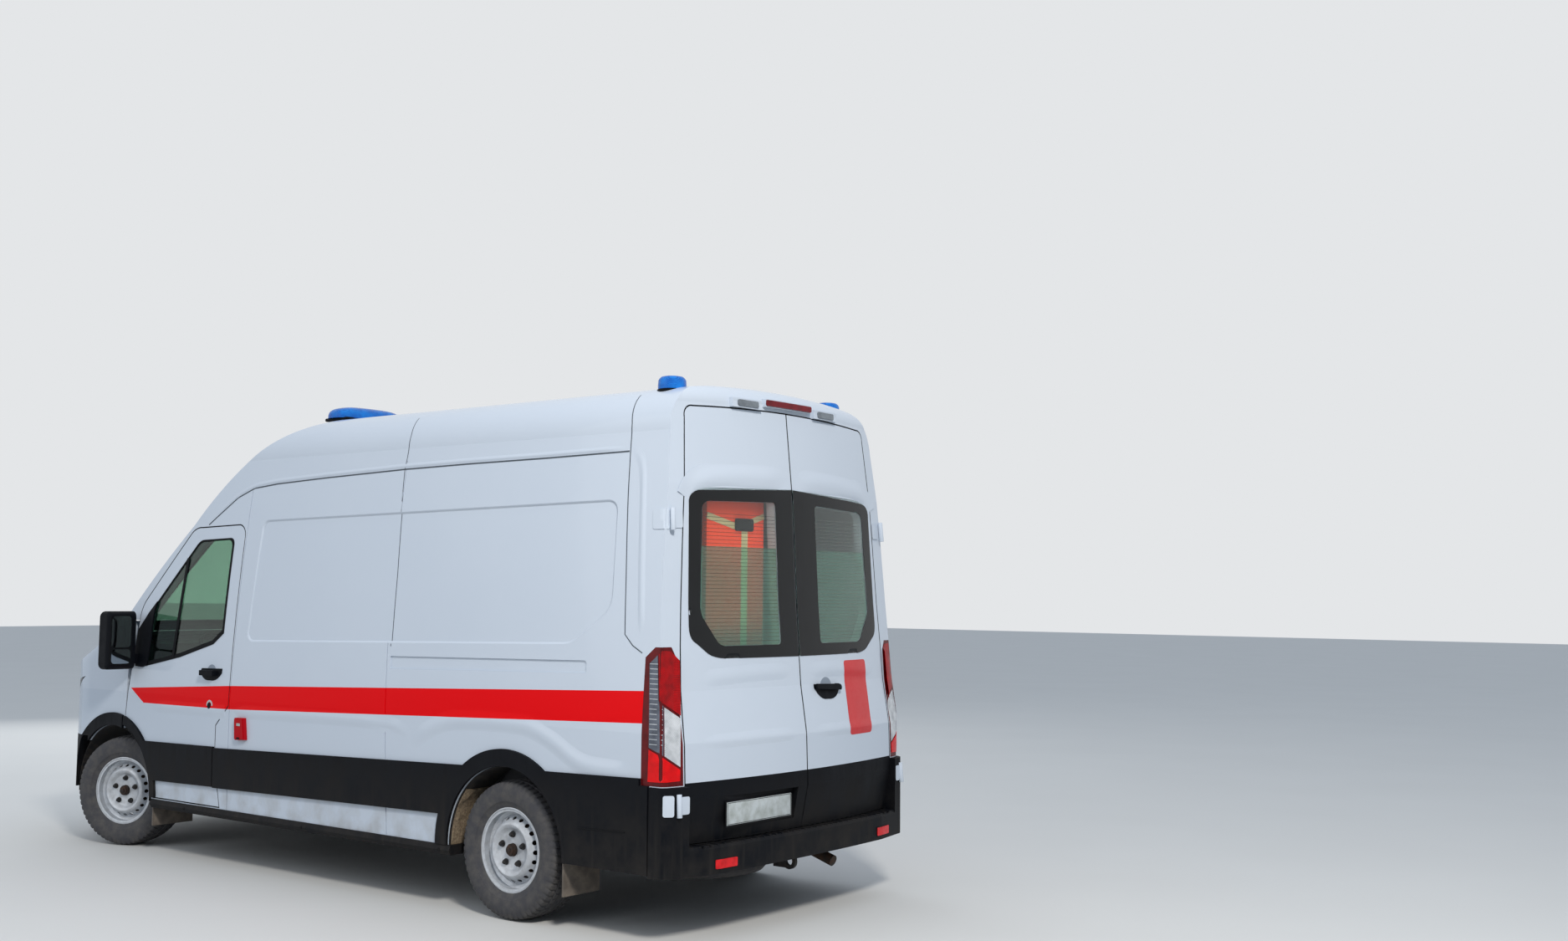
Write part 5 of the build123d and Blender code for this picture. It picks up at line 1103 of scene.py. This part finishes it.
disc = turned_y("disc_blank", DISC_LINE, RIM_TURNS)
punches = []
for k in range(VENT_COUNT):
    a = 2 * pi * k / VENT_COUNT
    out = Vector((cos(a), 0, sin(a)))
    at = out * VENT_RING + Y_AXIS * 0.065
    run = (Y_AXIS * cos(VENT_LEAN) + out * sin(VENT_LEAN)) * 0.045
    punches.append(barrel(f"punch_{k}", at - run, at + run, VENT_R))
punch = placed("punch", gathered("punch", punches))
cut = disc.modifiers.new("vents", "BOOLEAN")
cut.object, cut.solver = punch, "EXACT"
settled(disc)
bpy.data.objects.remove(punch)
wheel_mesh = gathered("wheel", [turned_y("rolled_rim", RIM_LINE, RIM_TURNS), disc])
nuts = []
for k in range(NUT_COUNT):
    a = pi / 2 + 2 * pi * k / NUT_COUNT
    at = Vector((NUT_RING * cos(a), SEAT_Y, NUT_RING * sin(a)))
    nuts += [barrel(f"nut_{k}", at, at + Y_AXIS * 0.018, 0.0140, 6),
             barrel(f"nut_seat_{k}", at, at + Y_AXIS * 0.006, 0.0175),
             barrel(f"nut_dome_{k}", at + Y_AXIS * 0.017, at + Y_AXIS * 0.027, 0.0125, 24,
                    0.0060)]
nut_mesh = gathered("nuts", nuts)
hub_mesh = gathered("hub", [barrel("hub_rim", Y_AXIS * 0.058, Y_AXIS * 0.090, 0.0325, 48),
                            barrel("hub_cap", Y_AXIS * 0.089, Y_AXIS * 0.100, 0.0290, 48,
                                   0.0250),
                            barrel("hub_end", Y_AXIS * 0.099, Y_AXIS * 0.106, 0.0140, 24,
                                   0.0110)])
wheel_silver = dirty_metal("silver_wheel_enamel", "#C2C7CD", "#7B756E", 0.30, 0.32, 0.35)
hub_iron = dirty_metal("rusty_hub", "#2A2624", "#5A3C2C", 0.6, 0.6, 0.4, 0.02)
nut_steel = dirty_metal("oxidised_steel", "#35373A", "#4A3F36", 0.6, 0.40, 0.7, 0.02)

# Tyres: 235 wide carcass of vulcanised rubber with wide circular grooves, cross slots and
# shoulder lugs moulded in the tread. Grey-brown dust fills the slots and dulls the walls.
TYRE_LINE = [(0.0835, 0.2045), (0.0905, 0.2120), (0.0965, 0.2220), (0.1030, 0.2330),
             (0.1085, 0.2470), (0.1120, 0.2500), (0.1150, 0.2660), (0.1172, 0.2850),
             (0.1165, 0.3010), (0.1140, 0.3150), (0.1105, 0.3270), (0.1065, 0.3365)]
TREAD_HALF, TREAD_EDGE_R, TREAD_R, GROOVE = 0.101, 0.3455, 0.356, 0.0085
TREAD_CROWN, TREAD_STEPS, TYRE_TURNS, LUG_COUNT, LUG_SKEW = 3.2, 34, 360, 60, 0.35
GROOVES, GROOVE_HALF = (-0.058, -0.020, 0.020, 0.058), 0.0042
SHOULDER, SHOULDER_SLOT = 0.062, 0.30               # half width, and share of a lug's pitch
BLOCK_IN, BLOCK_OUT, BLOCK_SLOT = 0.022, 0.056, 0.17
tread = []
for i in range(TREAD_STEPS + 1):
    w = TREAD_HALF * (1 - 2 * i / TREAD_STEPS)
    drop = (TREAD_R - TREAD_EDGE_R) * abs(w / TREAD_HALF) ** TREAD_CROWN
    tread.append((w, TREAD_R - drop))
tyre_line = TYRE_LINE + tread + [(-w, r) for w, r in reversed(TYRE_LINE)]
tyre_line += [(-0.060, 0.2045), (0.060, 0.2045)]
carcass = turned_y("carcass", tyre_line, TYRE_TURNS)
first, last, count = len(TYRE_LINE), len(TYRE_LINE) + TREAD_STEPS, len(tyre_line)
for v in carcass.data.vertices:
    i, k = v.index % count, v.index // count
    w = tyre_line[i][0]
    share = (k / TYRE_TURNS * LUG_COUNT + LUG_SKEW * w / TREAD_HALF) % 1.0
    depth = 0.0
    if first <= i <= last and min(abs(w - g) for g in GROOVES) < GROOVE_HALF:
        depth = GROOVE
    elif first - 2 <= i <= last + 2 and abs(w) > SHOULDER and share < SHOULDER_SLOT:
        depth = GROOVE * 0.75
    elif (first <= i <= last and BLOCK_IN < abs(w) < BLOCK_OUT and
          (share + 0.5) % 1.0 < BLOCK_SLOT):
        depth = GROOVE * 0.6
    shrink = 1 - depth / hypot(v.co.x, v.co.z)
    v.co.x *= shrink
    v.co.z *= shrink
tread_mesh = gathered("road_tyre", [carcass])
dusty_rubber = dirty_metal("dusty_tyre_rubber", "#3F3F43", "#6A6762", 0.55, 0.75, 0.0, 0.05)

for end, front in (("front", True), ("rear", False)):
    for word, side in (("left", 1), ("right", -1)):
        place = Matrix.Rotation(0 if side > 0 else pi, 4, "Z")
        if front:
            pin = Matrix.Translation((FRONT_AXLE.x, side * KINGPIN_Y, 0))
            place = (pin @ Matrix.Rotation(STEER_REST, 4, "Z") @ pin.inverted() @
                     Matrix.Translation(FRONT_AXLE + Y_AXIS * side * FRONT_HALF_TRACK) @ place)
        else:
            place = Matrix.Translation(REAR_AXLE + Y_AXIS * side * REAR_HALF_TRACK) @ place
        for kind, mesh, finish, slot, node in (
                ("steel_wheel", wheel_mesh, wheel_silver, "wheel_steel", "rim"),
                ("wheel_hub", hub_mesh, hub_iron, "cast", None),
                ("wheel_nuts", nut_mesh, nut_steel, "wheel_steel", None),
                ("road_tyre", tread_mesh, dusty_rubber, "tyre", "tyre")):
            piece = placed(f"{end}_{word}_{kind}", mesh.copy())
            piece.data.transform(place)
            fasten(piece, finish, f"{end}_{word}_wheel", slot, 30.0)
            if node:
                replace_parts(piece, f"{end}_{word}_{node}")
paint(dusty_rubber, "spare_wheel")

# Wheel arch liners: black felt rolled round each opening, with mud dried in lumps at the
# front of the rear ones, and rubber mud flaps grey-brown with road dust.
ARCH_R, LINER_IN_Y, LINER_OUT_Y = 0.4270, 0.800, 1.003
FLAP_OUT_Y, FLAP_T, FLAP_LOW, FLAP_TOP = 1.0012, 0.0126, 0.174, 0.338
BAND_TURN, BAND_ROWS, LUMPS_PER_M = 2.5, 14, 14.0
mud = dirty_metal("dried_mud", "#6F6150", "#A4937A", 0.9, 0.85, 0.0, 0.012)


def rolled(name, centre, radius, thick, start, end, side, inner, outer, lumps=0.0):
    """A band rolled about a wheel's axle line, with lumps on its inner face."""
    verts = []
    turns, rows = max(8, int((end - start) / BAND_TURN)), BAND_ROWS
    for k in range(turns + 1):
        a = radians(start + (end - start) * k / turns)
        for j in range(rows + 1):
            y = inner + (outer - inner) * j / rows
            at = Vector((cos(a), y * 3, sin(a)))
            r = radius - lumps * max(0.0, noise.noise(at * LUMPS_PER_M) + 0.35)
            verts.append((centre.x + r * cos(a), side * y, centre.z + r * sin(a)))
        for j in range(rows, -1, -1):
            y = inner + (outer - inner) * j / rows
            verts.append((centre.x + (radius + thick) * cos(a), side * y,
                          centre.z + (radius + thick) * sin(a)))
    n = 2 * (rows + 1)
    faces = [[k * n + i, (k + 1) * n + i, (k + 1) * n + (i + 1) % n, k * n + (i + 1) % n]
             for k in range(turns) for i in range(n)]
    faces += [list(range(n)), [turns * n + i for i in range(n - 1, -1, -1)]]
    return add_piece(name, verts, faces)


flap_rubber = dirty_metal("dusty_flap_rubber", "#5D564F", "#8B8176", 0.8, 0.8, 0.0, 0.08)
for word, side in (("left", 1), ("right", -1)):
    for end, centre in (("front", FRONT_AXLE), ("rear", REAR_AXLE)):
        fasten(rolled(f"{end}_{word}_arch_liner", centre, ARCH_R, 0.0015, -4, 184, side,
                      LINER_IN_Y, LINER_OUT_Y), underseal, "van_body", "chassis")
    fasten(rolled(f"{word}_dried_mud", REAR_AXLE, ARCH_R - 0.0025, 0.002, -2, 42, side, 0.830,
                  0.990, 0.012), mud, "van_body", "chassis", CREASE)
    for end, x0, y0 in (("front", 1.4863, 0.719), ("rear", -2.2118, 0.744)):
        low_y, high_y = sorted((side * y0, side * FLAP_OUT_Y))
        fasten(block(f"{end}_{word}_flap_face", (x0, low_y, FLAP_LOW),
                     (x0 + FLAP_T, high_y, FLAP_TOP), 0.0015), flap_rubber, "van_body",
               "chassis")

# Load space and cab: grained grey panels, door cards with a pocket and an arm rest, a vinyl
# floor, and an orange polyethylene spine board. Woven webbing straps the board upright.
panel_grey = grained_plastic("grained_cab_plastic", "#4A4D52", "#6B675F", 0.1)
floor_vinyl = grained_plastic("ribbed_floor_vinyl", "#5B5D60", "#6B675F", 0.3, 0.012)
board_orange = grained_plastic("moulded_polyethylene", "#F0441C", "#6B675F", 0.02, 0.006, 0.4)
paint(panel_grey, "dashboard", "bulkhead")
paint(floor_vinyl, "floor_pan")
paint(board_orange, "rescue_board")
CAB_CARD = outline((0.800, 0.480), (0.870, 0.680), (0.870, 0.860), (0.745, 1.000), (0.745, 1.330),
                   ((0.760, 1.372), (0.800, 1.378)), (1.240, 1.228), (1.640, 1.150),
                   ((1.690, 1.130), (1.704, 1.080)), (1.745, 0.830), ((1.560, 0.660),
                                                                     (1.490, 0.480)))
CARD_POCKET = rounded(1.000, 1.420, 0.620, 0.760, 0.040)
ARM_REST = rounded(0.860, 1.420, 1.010, 1.060, 0.024)
REAR_CARD = rounded(0.060, 0.780, 0.600, 1.290, 0.040)
for name, body, view, lift, thick, points in (
        ("cab_door_card", "left_front_door", FROM_RIGHT, 0.0003, 0.004, CAB_CARD),
        ("cab_door_pocket", "left_front_door", FROM_RIGHT, 0.0044, 0.014, CARD_POCKET),
        ("cab_door_rest", "left_front_door", FROM_RIGHT, 0.0044, 0.020, ARM_REST),
        ("rear_door_card", "left_rear_door", FROM_AHEAD, 0.0003, 0.004, REAR_CARD)):
    fasten_pair(laid("left_" + name, (body,), points, view, lift, thick, 0.05), panel_grey,
                body, "inner_trim")
WEBBING_RIB = 0.004               # real ribs are 1.5 mm, drawn at 4 mm to show
webbing, tree, where = new_finish("woven_polyester_webbing")
z = add(tree, "SeparateXYZ", where).node.outputs["Z"]
ribs = add(tree, "Math", add(tree, "Math", z, 2 * pi / WEBBING_RIB, operation="MULTIPLY"),
           operation="SINE")
surface(tree, add(tree, "MapRange", ribs, -1.0, 1.0), "#A8946A", "#CDB98A", Roughness=0.8,
        Sheen_Weight=0.3, Normal=add(tree, "Bump", Strength=0.4, Distance=0.0005, Height=ribs))
BOARD = ("rescue_board",)
for name, finish, lift, thick, points in (
        ("board_strap_left", webbing, 0.0005, 0.0025, strip([(0.566, 2.080), (0.330, 2.030)],
                                                            0.034)),
        ("board_strap_right", webbing, 0.0005, 0.0025, strip([(0.102, 2.092), (0.200, 2.062)],
                                                             0.030)),
        ("board_strap_down", webbing, 0.0005, 0.0025, strip([(0.262, 2.040), (0.262, 0.700)],
                                                            0.050)),
        ("board_buckle", black_polypropylene, 0.0032, 0.014,
         rounded(0.205, 0.345, 2.008, 2.072, 0.012))):
    fasten(laid(name, BOARD, points, FROM_BEHIND, lift, thick, 0.05), finish, "van_body",
           "seat_cloth")


# Seats: a driver's seat and a double one, foam cushions and backs under plain-woven cloth
# on steel boxes. Each pad is crowned and pulled in at its corners, with sewn channels.
CLOTH_PITCH = 0.006               # real threads are 1 mm wide, drawn at 3 mm to show
CHANNEL_HALF, CHANNEL_DEPTH = 0.09, 0.008
SIDE_PULL, TOP_PULL, WAIST, TOP_PART = 0.10, 0.16, 0.03, 0.6     # shares of half a pad's size
seat_cloth, tree, where = new_finish("woven_seat_cloth")
x, y, z = add(tree, "SeparateXYZ", where).node.outputs
threads = [add(tree, "Math", add(tree, "Math", axis, 2 * pi / CLOTH_PITCH,
                                 operation="MULTIPLY"), operation="SINE")
           for axis in (y, add(tree, "Math", x, z, operation="ADD"))]
weave = add(tree, "Math", *threads, operation="MULTIPLY")
surface(tree, add(tree, "MapRange", weave, -1.0, 1.0), "#20242C", "#3A404B", Roughness=0.85,
        Sheen_Weight=0.25, Normal=add(tree, "Bump", Strength=0.3, Distance=0.0006, Height=weave))


def pad(name, middle, size, lean, crown, channels):
    """A crowned pad whose sides pull in between its corners, with sewn channels."""
    work = bmesh.new()
    bmesh.ops.create_cube(work, size=2.0)
    bmesh.ops.subdivide_edges(work, edges=work.edges[:], cuts=9, use_grid_fill=True)
    for v in work.verts:
        a, b, c = v.co
        soft = (1 - SIDE_PULL * (b * b) * (c * c), 1 - SIDE_PULL * (a * a) * (c * c),
                1 - TOP_PULL * (a * a) * (b * b))
        groove = sum(max(0.0, 1 - abs(a - k) / CHANNEL_HALF) for k in channels)
        rise = crown * (1 - a * a) * (1 - b * b) - CHANNEL_DEPTH * groove
        v.co = Vector((a * soft[0] * (1 - WAIST * (1 - b * b)) * size[0] / 2,
                       b * soft[1] * (1 - WAIST * (1 - a * a)) * size[1] / 2,
                       c * soft[2] * size[2] / 2 + (rise if c > TOP_PART else 0)))
    work.transform(Matrix.Translation(middle) @ Matrix.Rotation(lean, 4, "Y"))
    piece = placed(name, meshed(name, work))
    soften = piece.modifiers.new("soften", "SUBSURF")
    soften.levels = soften.render_levels = 1
    return settled(piece)


seat_pieces = []
for word, right, left in (("driver", 0.190, 0.700), ("inner", -0.350, 0.090),
                          ("outer", -0.800, -0.360)):
    centre, width = (right + left) / 2, left - right
    seat_pieces += [
        pad(f"{word}_seat_cushion", (1.235, centre, 1.045), (0.46, width, 0.115), 0.0, 0.012,
            (-0.35, 0.35)),
        pad(f"{word}_seat_back", (0.975, centre, 1.385), (0.66, width - 0.02, 0.125),
            radians(-102.0), 0.014, (-0.5, 0.0, 0.5))]
for piece in seat_pieces:
    fasten(piece, seat_cloth, "van_body", "seat_cloth", 80.0)
for name, right, left in (("driver_seat_box", 0.250, 0.640), ("bench_seat_box", -0.740, 0.030)):
    fasten(block(name, (1.040, right, 0.642), (1.400, left, 0.985), 0.012), panel_grey,
           "van_body", "inner_trim")
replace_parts(seat_pieces[0], "cab_seats")

# The studio: a pale floor under a pale even sky, lit by a small warm lamp and two large soft
# ones. Floor and sky look paler to the eye than the light they throw on the vehicle.
FLOOR_HALF = 60.0
scene = bpy.context.scene
scene.view_settings.view_transform = "Standard"


def seen_by_eye(tree):
    """1 where the eye sees a surface, straight on, through glass or mirrored, else 0."""
    path = add(tree, "LightPath").node.outputs
    seen = add(tree, "Math", path["Is Camera Ray"], path["Is Transmission Ray"],
               operation="MAXIMUM")
    return add(tree, "Math", seen, path["Is Glossy Ray"], operation="MAXIMUM")


floor_mesh = bpy.data.meshes.new("studio_floor")
floor_mesh.from_pydata([(FLOOR_HALF * a, FLOOR_HALF * b, 0)
                        for a, b in ((-1, -1), (1, -1), (1, 1), (-1, 1))], [], [(0, 1, 2, 3)])
studio_floor = placed("studio_floor", floor_mesh)
pale_floor, tree, where = new_finish("pale_floor")
patchy = add(tree, "TexNoise", where, 0.8)
add(tree, "OutputMaterial", add(
    tree, "BsdfPrincipled", Roughness=0.8, Specular_IOR_Level=0.1,
    Base_Color=add(tree, "Mix", seen_by_eye(tree),
                   add(tree, "Mix", patchy, linear("#B2B2AF"), linear("#B8B8B5"),
                       data_type="RGBA"),
                   add(tree, "Mix", patchy, linear("#D6D6D3"), linear("#DBDBD8"),
                       data_type="RGBA"), data_type="RGBA")))
floor_mesh.materials.append(pale_floor)
studio_floor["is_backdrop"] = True
world = bpy.data.worlds.new("studio")
scene.world = world
world.use_nodes = True
tree = world.node_tree
tree.nodes.clear()
toward = add(tree, "TexCoord").node.outputs["Generated"]
height = add(tree, "SeparateXYZ", toward).node.outputs["Z"]
lit = add(tree, "Background", linear("#D6E2F2"),
          add(tree, "MapRange", height, 0.0, 0.5, 0.20, 0.75))
shown = add(tree, "Background", linear("#E4E6E8"), 1.0)
add(tree, "OutputWorld", add(tree, "MixShader", seen_by_eye(tree), lit, shown))
LIT_POINT = Vector((0, 0, 1.2))       # the lamps face the middle of the vehicle
for name, at, size, power, colour in (
        ("key", (-9.0, 5.5, 7.5), 1.4, 760.0, (1.0, 0.955, 0.90)),
        ("fill", (2.0, 10.0, 5.0), 9.0, 170.0, (1.0, 1.0, 1.0)),
        ("front", (9.0, -4.0, 6.0), 10.0, 300.0, (1.0, 1.0, 1.0))):
    lamp = bpy.data.lights.new(name, "AREA")
    lamp.size, lamp.energy, lamp.color = size, power, colour
    holder = placed(name, lamp)
    holder.location = at
    holder.visible_camera = False
    holder.visible_glossy = name == "fill"   # mirror images of the others burn out the roof
    holder.rotation_euler = (LIT_POINT - Vector(at)).to_track_quat("-Z", "Y").to_euler()
# Daylight that the renderer does not carry through the rear windows, put back inside them.
daylight = bpy.data.lights.new("daylight_inside", "AREA")
daylight.shape = "RECTANGLE"
daylight.size, daylight.size_y, daylight.energy = 0.55, 0.60, 0.7
inside = placed("daylight_inside", daylight)
inside.location = (-2.800, 0.330, 1.800)
inside.rotation_euler = X_AXIS.to_track_quat("-Z", "Y").to_euler()
inside.visible_camera = inside.visible_glossy = inside.visible_transmission = False

low, high = cad_box
new_low, new_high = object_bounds()
{"cad": [list(low), list(high)], "visual": [list(new_low), list(new_high)]}
